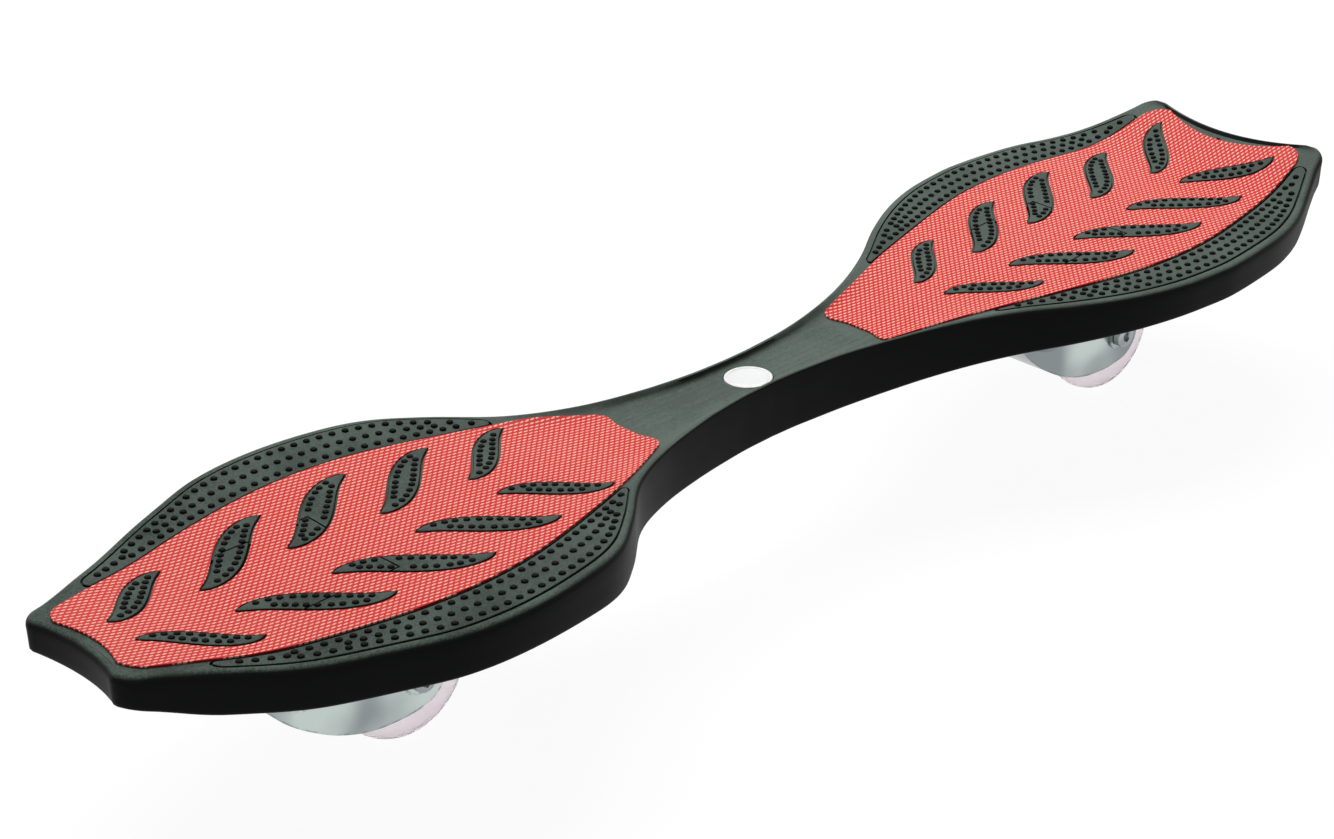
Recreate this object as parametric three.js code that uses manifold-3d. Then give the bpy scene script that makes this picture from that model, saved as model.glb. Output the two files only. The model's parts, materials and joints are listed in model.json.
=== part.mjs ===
import * as THREE from 'three';
import { mergeVertices } from 'three/addons/utils/BufferGeometryUtils.js';
import Module from 'manifold-3d';

// Caster board: a one-piece flexing deck on two inclined swivel casters.
// Millimetres, +Z up, nose at -X, tail at +X, ground at Z = 0.

const wasm = await Module();
wasm.setup();

// Driving sizes of the deck
const deckLength = 846;
const deckWidth = 222;
const tailNarrowing = 4;
const neckWidth = 39;
const deckOverPivot = 34.9;
const platformDepth = 23.4;
const tailRise = 2.9;
const neckDipDepth = 2.5;
const neckBellyDepth = 12.9;
const troughDepth = 4.4;
const troughRim = 1.5;
const deckDraft = 1.5;
const topEdgeRadius = 4;
const bottomEdgeRadius = 2.5;
const noseCornerRadius = 11;
const tailCornerRadius = 10;
const noseNotchDepth = 5.5;
const noseNotchReach = 33;
const tailNotchDepth = 9;
const tailNotchReach = 52;
const noseKickBlend = 30;
const tailKickBlend = 42;
const noseLiftReach = 42;
const noseLiftBlend = 16;

// Slopes of the ends, as rise over run
const noseKickShare = 0.155;
const tailKickShare = 0.33;
const noseLiftShare = 0.21;

// Places along the deck, as shares of its half length
const noseFootShare = 0.6076;
const tailFootShare = 0.6631;
const noseKickStartShare = 0.8014;
const tailKickStartShare = 0.8251;
const neckDipShares = [0.1655, 0.3783];
const neckBellyShares = [0.0709, 0.6028];
const troughShares = [0.13, 0.2175];
const leafReachShare = 0.3073;
const sheetEndShares = { nose: [0.1986, 0.9775], tail: [0.1939, 0.9882] };
const padEndShares = { nose: [0.3215, 0.9007], tail: [0.3428, 0.9504] };

// Walls and ribs of the deck's open underside
const topPlate = 4;
const sideWall = 3.6;
const endWall = 5;
const innerCorner = 4;
const ribThickness = 2.8;
const ribPitch = 52;
const ribRowGap = 42;
const ribRecess = 2.5;
const neckWebPitch = 46;

// Grip sheets
const sheetThickness = 0.9;
const sheetSideMargin = 37.5;
const sheetCorner = 9;
const sheetInnerCorner = 4;
const sheetInnerNotch = 2.5;
const noseSheetNotch = 5;
const tailSheetNotch = 13;

// Leaf-shaped islands that stand up through the sheets
const leafSideMargin = 13.5;
const leafWidth = 13.4;
const leafRise = 1.6;
const leafGroove = 0.9;

// Tread pads in their recesses beside the sheets
const padRecess = 1.5;
const padProud = 0.7;
const padSheetGap = 1.6;
const padEdgeMargin = 7.4;
const padGroove = 0.8;
const padEndRounding = 5;

// Access bay and its cover
const bayLength = 81;
const bayWidth = 70;
const bayBack = 48;
const coverThickness = 3;
const bayLedge = 3;
const bayFloorDepth = 15.5;
const bayWall = 2.6;
const coverSkirt = 1.8;
const coverSkirtDepth = 5;
const coverGap = 0.4;

// Badge
const badgeDiameter = 26;
const badgeThickness = 2;
const badgeRecess = 1.4;
const badgeDome = 0.5;
const badgeShoulderShare = 0.6;
const badgeShoulderRise = 0.37;

// Caster geometry
const swivelTilt = 30;
const wheelDiameter = 76;
const wheelWidth = 24;
const wheelBehindFoot = 13;
const axleOffset = 39;
const axleDrop = 70;
const podRadius = 30;
const podFlare = 3;
const podTall = 64;
const swivelRoom = 4;
const nutWellRadius = 13;
const nutWellDepth = 32;
const nutRoomDepth = 18.9;

// Swivel bearing stack, measured down the kingpin from the pod's face
const kingpinDiameter = 8;
const kingpinThreadEnd = 2.4;
const kingpinHeadHeight = 5.5;
const kingpinHeadRadius = 7;
const sleeveWall = 2;
const sleeveFlangeRadius = 11.5;
const sleeveFlangeThickness = 2;
const lockNutHeight = 8;
const lockNutRadius = 7.3;
const raceRadius = 27;
const raceThickness = 3.7;
const swivelBallDiameter = 6;
const swivelBallCircle = 18;
const swivelBallCount = 9;
const cageHalfWidth = 2;
const cageThickness = 1.2;
const sealWidth = 2.4;
const headGap = 3;

// Fork
const forkSheet = 3;
const forkHeadRadius = 29;
const forkHeadThickness = 4;
const forkInnerWidth = 27;
const forkCupDepth = 20;
const forkCupRadius = 19;
const forkBackShare = 0.9;
const forkSlotSetback = 4.5;
const axleBossRadius = 18;
const axlePadRadius = 9;
const axlePadHeight = 1.5;
const wheelArchGap = 4;
const bearingCollarWall = 2.8;

// Bearings, axle and wheel
const bearingOuterDiameter = 22;
const bearingBore = 8;
const bearingWidth = 7;
const bearingRaceWall = 2.2;
const bearingShieldRecess = 0.6;
const axleDiameter = 8;
const axleHeadHeight = 5;
const axleHeadRadius = 6.6;
const axleHeadChamfer = 1.3;
const axleSocketRadius = 3;
const axleSocketDepth = 2.6;
const axleNutHeight = 7;
const axleThreadEnd = 1.5;
const axleWasherRadius = 6.4;
const bearingSpacerLength = 9;
const bearingSpacerWall = 1.6;
const coreDiameter = 48;
const coreWidth = 20;
const coreRim = 3.4;
const coreHubWall = 3;
const coreWeb = 5;
const coreHoleCount = 6;
const coreHoleDiameter = 7;
const tyreShoulder = 8;

// Clearances and overruns
const seatGap = 0.3;
const runGap = 0.5;
const overrun = 5;
const farReach = 500;
const weldDistance = 0.0001;

// Facet counts
const hexSides = 6;
const wheelSides = 24;
const fineSides = 20;
const roundSides = 12;
const ballSides = 6;
const ballRings = 3;
const stationCount = 34;
const curveSteps = 6;

// Sizes that follow from the ones above
const halfLength = deckLength / 2;
const tailWidth = deckWidth - tailNarrowing;
const sheetWidth = deckWidth - 2 * sheetSideMargin;
const leafReach = halfLength * leafReachShare;
const leafSpread = sheetWidth / 2 - leafSideMargin;
const wheelRadius = wheelDiameter / 2;
const tilt = THREE.MathUtils.degToRad(swivelTilt);
const podFaceHeight = wheelRadius + axleDrop * Math.cos(tilt) - axleOffset * Math.sin(tilt);
const footHeight = podFaceHeight + deckOverPivot;
const podDepth = deckOverPivot - nutRoomDepth;
const kingpinRise = podDepth + 2 * seatGap + sleeveFlangeThickness + lockNutHeight + kingpinThreadEnd;
const sheetBase = seatGap;
const sheetTop = seatGap + sheetThickness;

// Solids: closed meshes whose faces point out

function signedVolume(position, triangles) {
  const corners = [new THREE.Vector3(), new THREE.Vector3(), new THREE.Vector3()];
  let total = 0;
  for (let i = 0; i < triangles.length; i += 3) {
    corners.forEach((corner, k) => corner.fromBufferAttribute(position, triangles[i + k]));
    total += corners[0].dot(corners[1].cross(corners[2]));
  }
  return total;
}

function solidOf(geometry) {
  const plain = geometry.clone();
  plain.deleteAttribute('normal');
  plain.deleteAttribute('uv');
  const merged = mergeVertices(plain, weldDistance);
  const source = merged.index.array;
  const triangles = [];
  for (let i = 0; i < source.length; i += 3) {
    const [a, b, c] = [source[i], source[i + 1], source[i + 2]];
    if (a !== b && b !== c && c !== a) {
      triangles.push(a, b, c);
    }
  }
  if (signedVolume(merged.attributes.position, triangles) < 0) {
    triangles.reverse();
  }
  const vertProperties = new Float32Array(merged.attributes.position.array);
  const triVerts = new Uint32Array(triangles);
  return new wasm.Manifold(new wasm.Mesh({ numProp: 3, vertProperties, triVerts }));
}

function geometryOf(solid) {
  const mesh = solid.getMesh();
  const geometry = new THREE.BufferGeometry();
  geometry.setAttribute('position', new THREE.BufferAttribute(mesh.vertProperties, 3));
  geometry.setIndex(new THREE.BufferAttribute(mesh.triVerts, 1));
  geometry.computeVertexNormals();
  return geometry;
}

function joined(solids) {
  return solids.reduce((total, solid) => total.add(solid));
}

function placed(solid, matrix) {
  return solid.transform(matrix.elements.slice());
}

function shapeOf(points) {
  return new THREE.Shape(points.map(([x, y]) => new THREE.Vector2(x, y)));
}

// A plan outline raised from one height to another
function plate(points, bottom, top) {
  const geometry = new THREE.ExtrudeGeometry(shapeOf(points), { depth: top - bottom, bevelEnabled: false });
  geometry.translate(0, 0, bottom);
  return solidOf(geometry);
}

// A side profile in X and Z, widened along Y about the middle plane
function slab(points, width) {
  const geometry = new THREE.ExtrudeGeometry(shapeOf(points), { depth: width, bevelEnabled: false });
  geometry.rotateX(Math.PI / 2);
  geometry.translate(0, width / 2, 0);
  return solidOf(geometry);
}

function block(low, high) {
  const size = new THREE.Vector3(...high).sub(new THREE.Vector3(...low));
  const geometry = new THREE.BoxGeometry(size.x, size.y, size.z);
  geometry.translate(low[0] + size.x / 2, low[1] + size.y / 2, low[2] + size.z / 2);
  return solidOf(geometry);
}

function revolve(profile, sides) {
  const points = profile.map(([radius, height]) => new THREE.Vector2(radius, height));
  return new THREE.LatheGeometry(points, sides);
}

// A profile of radius and height turned about Z
function turned(profile, sides = roundSides) {
  return solidOf(revolve(profile, sides).rotateX(Math.PI / 2));
}

// A profile of radius and place along the axle turned about Y
function turnedOnAxle(profile, sides = roundSides) {
  return solidOf(revolve(profile, sides));
}

function ring(inner, outer, bottom, top) {
  return [[inner, bottom], [outer, bottom], [outer, top], [inner, top], [inner, bottom]];
}

function disc(radius, bottom, top) {
  return [[0, bottom], [radius, bottom], [radius, top], [0, top]];
}

// A skin through rings of equal point count, closed by a cap at each end
function loft(rings) {
  const count = rings[0].length;
  const positions = rings.flat().flatMap((point) => [point.x, point.y, point.z]);
  const triangles = [];
  for (let i = 0; i + 1 < rings.length; i += 1) {
    for (let j = 0; j < count; j += 1) {
      const next = (j + 1) % count;
      const [a, b] = [i * count + j, i * count + next];
      triangles.push(a, b, b + count, a, b + count, a + count);
    }
  }
  const capShape = rings[0].map((point) => new THREE.Vector2(point.y, point.z));
  const cap = THREE.ShapeUtils.triangulateShape(capShape, []);
  const last = (rings.length - 1) * count;
  cap.forEach(([a, b, c]) => triangles.push(c, b, a));
  const endShape = rings.at(-1).map((point) => new THREE.Vector2(point.y, point.z));
  const endCap = THREE.ShapeUtils.triangulateShape(endShape, []);
  endCap.forEach(([a, b, c]) => triangles.push(last + a, last + b, last + c));
  const geometry = new THREE.BufferGeometry();
  geometry.setAttribute('position', new THREE.Float32BufferAttribute(positions, 3));
  geometry.setIndex(triangles);
  return solidOf(geometry);
}

// Curves of the deck

function smooth(share) {
  const s = THREE.MathUtils.clamp(share, 0, 1);
  return s * s * (3 - 2 * s);
}

// A smooth curve through [place, value] points, steady between them
function curveThrough(points) {
  const slopes = points.map((point, i) => {
    const before = points[Math.max(i - 1, 0)];
    const after = points[Math.min(i + 1, points.length - 1)];
    return (after[1] - before[1]) / (after[0] - before[0]);
  });
  return (place) => {
    let i = 0;
    while (i < points.length - 2 && place > points[i + 1][0]) {
      i += 1;
    }
    const span = points[i + 1][0] - points[i][0];
    const s = THREE.MathUtils.clamp((place - points[i][0]) / span, 0, 1);
    const rise = smooth(s);
    const leave = s * (1 - s) * (1 - s) * span * slopes[i];
    const arrive = s * s * (1 - s) * span * slopes[i + 1];
    return points[i][1] * (1 - rise) + points[i + 1][1] * rise + leave - arrive;
  };
}

// Share of the way from neck width to platform width, against share of the deck's half length
const noseWidthShares = [
  [0, 0], [0.06, 0.014], [0.14, 0.073], [0.225, 0.19], [0.3, 0.37], [0.37, 0.66], [0.425, 0.85],
  [0.485, 0.945], [0.58, 1], [0.665, 0.962], [0.738, 0.835], [0.808, 0.69], [0.883, 0.497],
  [0.962, 0.293], [1, 0.235],
];
const tailWidthShares = [
  [0, 0], [0.05, 0.008], [0.13, 0.052], [0.22, 0.16], [0.29, 0.287], [0.355, 0.448], [0.43, 0.677],
  [0.5, 0.848], [0.565, 0.949], [0.63, 0.993], [0.665, 1], [0.735, 0.97], [0.79, 0.925],
  [0.845, 0.838], [0.893, 0.736], [0.935, 0.64], [0.972, 0.565], [1, 0.53],
];
const noseWidthAt = curveThrough(noseWidthShares);
const tailWidthAt = curveThrough(tailWidthShares);

// How far a round corner draws the side in, near an end
function cornerDraw(toEnd, radius) {
  const inside = Math.max(radius - Math.max(toEnd, 0), 0);
  return radius - Math.sqrt(radius * radius - inside * inside);
}

function deckHalfWidth(x) {
  const nose = x < 0;
  const widest = (nose ? deckWidth : tailWidth) / 2;
  const share = (nose ? noseWidthAt : tailWidthAt)(Math.abs(x) / halfLength);
  const side = neckWidth / 2 + (widest - neckWidth / 2) * share;
  return side - cornerDraw(halfLength - Math.abs(x), nose ? noseCornerRadius : tailCornerRadius);
}

function kick(distance, blend, slope) {
  if (distance <= 0) {
    return 0;
  }
  return distance < blend ? slope * distance * distance / (2 * blend) : slope * (distance - blend / 2);
}

function kickHeight(x) {
  return kick(-x - halfLength * noseKickStartShare, noseKickBlend, noseKickShare)
    + kick(x - halfLength * tailKickStartShare, tailKickBlend, tailKickShare);
}

// One near the middle of the deck and zero beyond the outer place
function nearMiddle(x, [inner, outer]) {
  return 1 - smooth((Math.abs(x) / halfLength - inner) / (outer - inner));
}

function topHeight(x) {
  return footHeight + kickHeight(x) - neckDipDepth * nearMiddle(x, neckDipShares);
}

// The underside follows the top, deeper at the neck and lifted towards the nose
function bottomHeight(x) {
  const belly = neckBellyDepth * nearMiddle(x, neckBellyShares);
  const lift = kick(noseLiftReach - halfLength - x, noseLiftBlend, noseLiftShare);
  const rise = tailRise * (1 - nearMiddle(Math.max(x, 0), neckBellyShares));
  return footHeight + kickHeight(x) - platformDepth - belly + lift + rise;
}

function troughAt(x) {
  return troughDepth * nearMiddle(x, troughShares);
}

// Stations along the deck, closer together round the corners at both ends
function stationsBetween(first, last, cornerFirst, cornerLast) {
  const cornerSteps = [0, 0.06, 0.2, 0.5];
  const span = last - first - cornerFirst - cornerLast;
  const steps = Math.round(stationCount * span / deckLength);
  const middle = Array.from({ length: steps + 1 }, (_, i) => first + cornerFirst + span * i / steps);
  const start = cornerSteps.map((share) => first + cornerFirst * share);
  const end = cornerSteps.map((share) => last - cornerLast * share).reverse();
  return [...start, ...middle, ...end];
}

const deckPlaces = stationsBetween(-halfLength, halfLength, noseCornerRadius, tailCornerRadius);

const topCornerShare = 0.3;
const troughPlaceShares = [[1, 0], [0.62, 0.72]];

function mirrored(side, x, middle) {
  const right = side.map(([y, z]) => new THREE.Vector3(x, y, z));
  const left = side.map(([y, z]) => new THREE.Vector3(x, -y, z)).reverse();
  return [...right, ...middle, ...left];
}

function outerRing(x) {
  const width = deckHalfWidth(x);
  const top = topHeight(x);
  const bottom = bottomHeight(x);
  const trough = troughAt(x);
  const shoulder = topCornerShare * topEdgeRadius;
  const rim = width - topEdgeRadius - troughRim;
  const side = [
    [width - deckDraft - bottomEdgeRadius, bottom],
    [width - deckDraft, bottom + bottomEdgeRadius],
    [width, top - topEdgeRadius],
    [width - shoulder, top - shoulder],
    [width - topEdgeRadius, top],
    ...troughPlaceShares.map(([place, depth]) => [rim * place, top - trough * depth]),
  ];
  return mirrored(side, x, [new THREE.Vector3(x, 0, top - trough)]);
}

function innerRing(x) {
  const width = deckHalfWidth(x) - sideWall;
  const ceiling = topHeight(x) - troughAt(x) - topPlate;
  const side = [
    [width - deckDraft, bottomHeight(x) - overrun],
    [width - innerCorner / 2, ceiling - innerCorner],
    [width - innerCorner, ceiling],
  ];
  return mirrored(side, x, []);
}

// The curved notch in each end of the deck, as a cutter moved inward by an inset
function endNotch(sign, depth, reach, inset) {
  const steps = 12;
  const base = halfLength - inset;
  const curve = Array.from({ length: steps + 1 }, (_, i) => {
    const y = (2 * i / steps - 1) * (reach + inset);
    const bend = 1 - (y / (reach + inset)) ** 2;
    return [sign * (base - depth * bend), y];
  });
  const wide = reach + farReach;
  const beyond = sign * (base + farReach);
  const outline = [[sign * base, -wide], ...curve, [sign * base, wide], [beyond, wide], [beyond, -wide]];
  return plate(outline, 0, farReach);
}

function endNotches(inset) {
  return endNotch(-1, noseNotchDepth, noseNotchReach, inset).add(
    endNotch(1, tailNotchDepth, tailNotchReach, inset));
}

// Leaf islands

// Inner tip and outer tip of each leaf, as shares of the leaf pattern's reach and spread
const leafShares = [
  [-1.057, 0.207, -0.691, 0.705],
  [-0.658, 0.243, -0.187, 0.898],
  [-0.251, 0.297, 0.251, 0.99],
  [0.162, 0.218, 0.611, 0.893],
  [0.562, 0.192, 0.937, 0.733],
];
const leafBendShare = 0.42;
const leafTaperShare = 0.7;
const leafSteps = 6;

function leafOutline(tips, centre, side, grow) {
  const [x0, y0, x1, y1] = [tips[0] * leafReach, tips[1] * leafSpread, tips[2] * leafReach, tips[3] * leafSpread];
  const bend = (x1 - x0) * leafBendShare;
  const spine = new THREE.CubicBezierCurve(new THREE.Vector2(x0, y0), new THREE.Vector2(x0 + bend, y0),
    new THREE.Vector2(x1 - bend, y1), new THREE.Vector2(x1, y1));
  const upper = [];
  const lower = [];
  for (let i = 0; i <= leafSteps; i += 1) {
    const share = i / leafSteps;
    const point = spine.getPoint(share);
    const across = spine.getTangent(share);
    const half = leafWidth / 2 * Math.sin(Math.PI * share) ** leafTaperShare + grow;
    const reach = grow * (2 * share - 1);
    const along = [point.x + across.x * reach, point.y + across.y * reach];
    upper.push([centre + along[0] - across.y * half, side * (along[1] + across.x * half)]);
    lower.push([centre + along[0] + across.y * half, side * (along[1] - across.x * half)]);
  }
  return grow > 0 ? [...lower, ...upper.reverse()] : [...lower, ...upper.reverse().slice(1, -1)];
}

function leavesOf(centre, grow, bottom, top) {
  const outlines = leafShares.flatMap((tips) => [1, -1].map((side) => leafOutline(tips, centre, side, grow)));
  return joined(outlines.map((outline) => plate(outline, bottom, top)));
}

// A skin that follows the deck's top, from one rise above it to another
function topSkin(lowRise, highRise) {
  const half = deckWidth / 2 + overrun;
  return loft(deckPlaces.map((x) => {
    const [low, high] = [topHeight(x) + lowRise, topHeight(x) + highRise];
    return [[half, low], [half, high], [-half, high], [-half, low]].map(([y, z]) => new THREE.Vector3(x, y, z));
  }));
}

// The two ends of the deck share one layout
const ends = [
  {
    name: 'nose',
    sign: -1,
    foot: -halfLength * noseFootShare,
    sheetNotch: noseSheetNotch,
  },
  {
    name: 'tail',
    sign: 1,
    foot: halfLength * tailFootShare,
    sheetNotch: tailSheetNotch,
  },
];

// Share of the sheet's full width, against share of its length from the inner end
const sheetWidthShares = {
  nose: [[0, 0.3], [0.025, 0.395], [0.07, 0.51], [0.118, 0.605], [0.21, 0.74], [0.307, 0.865],
    [0.4, 0.96], [0.495, 0.995], [0.592, 0.968], [0.682, 0.898], [0.775, 0.784], [0.874, 0.653],
    [0.98, 0.47], [1, 0.43]],
  tail: [[0, 0.33], [0.04, 0.37], [0.12, 0.49], [0.21, 0.626], [0.338, 0.788], [0.47, 0.95],
    [0.557, 1], [0.645, 0.99], [0.73, 0.936], [0.817, 0.859], [0.89, 0.822], [0.95, 0.802], [1, 0.76]],
};

function sheetHalfWidth(end, distance) {
  const [inner, outer] = sheetEndShares[end.name].map((share) => share * halfLength);
  return sheetWidth / 2 * curveThrough(sheetWidthShares[end.name])((distance - inner) / (outer - inner));
}

function sheetOutline(end) {
  const [inner, outer] = sheetEndShares[end.name].map((share) => share * halfLength);
  const steps = 16;
  const cornerSteps = [0, 0.08, 0.3];
  const [first, span] = [inner + sheetInnerCorner, outer - inner - sheetInnerCorner - sheetCorner];
  const places = [
    ...cornerSteps.map((share) => inner + sheetInnerCorner * share),
    ...Array.from({ length: steps }, (_, i) => first + span * i / steps),
    ...cornerSteps.map((share) => outer - sheetCorner * (1 - share)),
    ...cornerSteps.map((share) => outer - sheetCorner * share * share).reverse(),
  ];
  const side = places.map((place) => [place, sheetHalfWidth(end, place)
    - cornerDraw(outer - place, sheetCorner) - cornerDraw(place - inner, sheetInnerCorner)]);
  const reach = side.at(-1)[1];
  const endSteps = 8;
  const outerEnd = Array.from({ length: endSteps - 1 }, (_, i) => {
    const y = reach * (1 - 2 * (i + 1) / endSteps);
    return [outer - end.sheetNotch * (1 - (y / reach) ** 2), y];
  });
  const back = side.map(([x, y]) => [x, -y]).reverse();
  const start = side[0][1];
  const innerEnd = [[inner + sheetInnerNotch, -start / 3], [inner + sheetInnerNotch, start / 3]];
  return [...side, ...outerEnd, ...back, ...innerEnd].map(([x, y]) => [end.sign * x, y]);
}

function gripSheet(end) {
  const skin = topSkin(sheetBase, sheetTop);
  const blank = plate(sheetOutline(end), 0, farReach).intersect(skin);
  return blank.subtract(leavesOf(end.foot, leafGroove, 0, farReach));
}

// Tread pads: the strip between the sheet and the deck's edge, with blunt round ends

function padOutline(end, side, grow) {
  const [inner, outer] = padEndShares[end.name].map((share) => share * halfLength);
  const [first, last] = [inner - grow, outer + grow];
  const steps = 14;
  const endShares = [0, 0.1, 0.4];
  const bandAt = (place) => {
    const low = sheetHalfWidth(end, place) + padSheetGap - grow;
    const high = deckHalfWidth(end.sign * place) - padEdgeMargin + grow;
    return { middle: (low + high) / 2, half: Math.max((high - low) / 2, weldDistance) };
  };
  const roundEnd = (place) => {
    const { half } = bandAt(place);
    return Math.min(half, padEndRounding, (last - first) / 4);
  };
  const [roundFirst, roundLast] = [roundEnd(first), roundEnd(last)];
  const middlePlaces = Array.from({ length: steps + 1 }, (_, i) =>
    first + roundFirst + (last - first - roundFirst - roundLast) * i / steps);
  const places = [...endShares.map((share) => first + roundFirst * share), ...middlePlaces,
    ...endShares.map((share) => last - roundLast * share).reverse()];
  const edges = places.map((place) => {
    const { middle, half } = bandAt(place);
    const draw = Math.min((place - first) / roundFirst, (last - place) / roundLast, 1);
    return { place, middle, half: half * Math.sqrt(Math.max(1 - (1 - draw) ** 2, 0)) };
  });
  const upper = edges.map(({ place, middle, half }) => [place, middle + half]);
  const lower = edges.slice(1, -1).map(({ place, middle, half }) => [place, middle - half]).reverse();
  return [...upper, ...lower].map(([x, y]) => [end.sign * x, side * y]);
}

function treadPad(end, side) {
  return plate(padOutline(end, side, 0), 0, farReach).intersect(topSkin(seatGap - padRecess, padProud));
}

// Caster frame: origin at the pod's face, +Z up the kingpin, +X towards the wheel

function casterFrame(end) {
  const wheelX = end.foot + wheelBehindFoot;
  const back = axleOffset * Math.cos(tilt) + axleDrop * Math.sin(tilt);
  return new THREE.Matrix4().makeRotationY(-tilt).setPosition(wheelX - back, 0, podFaceHeight);
}

const kingpinRadius = kingpinDiameter / 2;
const sleeveBore = kingpinRadius + seatGap;
const sleeveRadius = sleeveBore + sleeveWall;

function podOf(end) {
  const cone = turned([[0, 0], [podRadius, 0], [podRadius + podFlare, podTall / 2],
    [podRadius + podFlare, podTall], [0, podTall]], fineSides);
  return placed(cone, casterFrame(end));
}

function podHoles(end) {
  const bore = turned(disc(sleeveRadius + seatGap, -overrun, podDepth + overrun));
  const well = turned(disc(nutWellRadius, podDepth, podDepth + nutWellDepth));
  const room = turned(disc(podRadius + swivelRoom, -podTall, 0), fineSides);
  const top = footHeight - bayFloorDepth + bayWall + overrun;
  const trimmed = placed(bore.add(well).add(room), casterFrame(end));
  return trimmed.intersect(block([-farReach, -farReach, 0], [farReach, farReach, top]));
}

// Access bay

function bayBlock(end, inset, bottom, top) {
  const middle = end.foot - bayBack;
  const [x, y] = [bayLength / 2 - inset, bayWidth / 2 - inset];
  return block([middle - x, -y, bottom], [middle + x, y, top]);
}

function bayHoles(end) {
  const seat = bayBlock(end, 0, footHeight - coverThickness - seatGap, footHeight + farReach);
  const pocket = bayBlock(end, bayLedge, footHeight - bayFloorDepth + bayWall, footHeight);
  return seat.add(pocket);
}

function bayCover(end) {
  const top = footHeight;
  const lid = bayBlock(end, coverGap, top - coverThickness, top);
  const skirtOuter = bayBlock(end, bayLedge + coverGap, top - coverThickness - coverSkirtDepth, top - coverThickness);
  const skirtInner = bayBlock(end, bayLedge + coverGap + coverSkirt,
    top - coverThickness - coverSkirtDepth - overrun, top - coverThickness);
  const islands = leavesOf(end.foot, 0, top - coverThickness / 2, top + leafRise);
  const island = islands.intersect(bayBlock(end, coverGap, 0, farReach));
  return lid.add(skirtOuter.subtract(skirtInner)).add(island);
}

// Deck

function ribsOf() {
  const ribs = [];
  const across = (x) => ribs.push(
    block([x - ribThickness / 2, -deckWidth, 0], [x + ribThickness / 2, deckWidth, farReach]));
  const along = (x0, x1, y) => ribs.push(
    block([x0, y - ribThickness / 2, 0], [x1, y + ribThickness / 2, farReach]));
  ends.forEach((end) => {
    [-2, -1, 0, 1, 2, 3].forEach((step) => across(end.foot - end.sign * step * ribPitch));
    [-1, 1].forEach((row) => along(end.foot - 2 * ribPitch, end.foot + 2 * ribPitch, row * ribRowGap));
  });
  [-1, 0, 1].forEach((step) => across(step * neckWebPitch));
  along(-halfLength, halfLength, 0);
  return joined(ribs);
}

function makeDeck() {
  const outer = loft(deckPlaces.map(outerRing)).subtract(endNotches(0));
  const innerFirst = -halfLength + noseNotchDepth + endWall;
  const innerLast = halfLength - endWall;
  const innerPlaces = stationsBetween(innerFirst, innerLast, noseCornerRadius, tailCornerRadius);
  const hollow = loft(innerPlaces.map(innerRing)).subtract(endNotches(endWall));
  const roomAbove = (floorAt) => loft(innerPlaces.map((x) => {
    const width = deckHalfWidth(x) - topEdgeRadius;
    const [low, high] = [floorAt(x), topHeight(x) - troughAt(x) - topPlate / 2];
    return [[width, low], [width, high], [-width, high], [-width, low]].map(([y, z]) => new THREE.Vector3(x, y, z));
  }));
  const ribs = ribsOf().intersect(roomAbove((x) => bottomHeight(x) + ribRecess));
  const pods = joined(ends.map(podOf)).intersect(roomAbove(() => 0));
  const bays = joined(ends.map((end) =>
    bayBlock(end, -bayWall + bayLedge, footHeight - bayFloorDepth, footHeight - topPlate / 2)));
  const islands = joined(ends.map((end) => leavesOf(end.foot, 0, 0, farReach)))
    .intersect(topSkin(-topPlate / 2, leafRise));
  const padSeats = joined(ends.flatMap((end) =>
    [1, -1].map((side) => plate(padOutline(end, side, padGroove), 0, farReach))))
    .intersect(topSkin(-padRecess, overrun));
  const badgeSeatTop = topHeight(0) - troughDepth;
  const badgeSeat = turned(disc(badgeDiameter / 2 + seatGap, badgeSeatTop - badgeRecess, badgeSeatTop + overrun),
    fineSides);
  const shell = outer.subtract(hollow.subtract(ribs));
  const body = shell.add(pods).add(bays).add(islands);
  return [...ends.flatMap((end) => [podHoles(end), bayHoles(end)]), padSeats, badgeSeat]
    .reduce((solid, cut) => solid.subtract(cut), body);
}

function makeBadge() {
  const base = topHeight(0) - troughDepth - badgeRecess + seatGap;
  const radius = badgeDiameter / 2;
  const edge = base + badgeThickness - badgeDome;
  return turned([[0, base], [radius, base], [radius, edge], [radius * badgeShoulderShare, edge + badgeShoulderRise],
    [0, edge + badgeDome]], fineSides);
}

// Fork, in the caster frame

const forkHeadTop = -seatGap - raceThickness - headGap;
const forkHeadBase = forkHeadTop - forkHeadThickness;
const forkOuterWidth = forkInnerWidth + 2 * forkSheet;
const bearingRadius = bearingOuterDiameter / 2;
const swivelBearingBase = forkHeadBase - seatGap - bearingWidth;

// Front edge of the fork's cheek, as shares of the axle's offset and drop
const forkFrontShares = [[-0.36, 0.69], [-0.15, 0.853], [0.066, 0.987], [0.29, 1.084]];
const forkRearShares = [[1.08, 0.42], [0.88, 0.27]];

function cheekOutline() {
  const front = forkFrontShares.map(([along, down]) => [along * axleOffset, -down * axleDrop]);
  const arcSteps = curveSteps + 2;
  const from = THREE.MathUtils.degToRad(250);
  const to = THREE.MathUtils.degToRad(400);
  const boss = Array.from({ length: arcSteps + 1 }, (_, i) => {
    const angle = from + (to - from) * i / arcSteps;
    return [axleOffset + axleBossRadius * Math.cos(angle), -axleDrop + axleBossRadius * Math.sin(angle)];
  });
  const rear = forkRearShares.map(([along, down]) => [along * axleOffset, -down * axleDrop]);
  return [[-forkHeadRadius, forkHeadTop], ...front, ...boss, ...rear, [forkHeadRadius * forkBackShare, forkHeadTop]];
}

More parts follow.
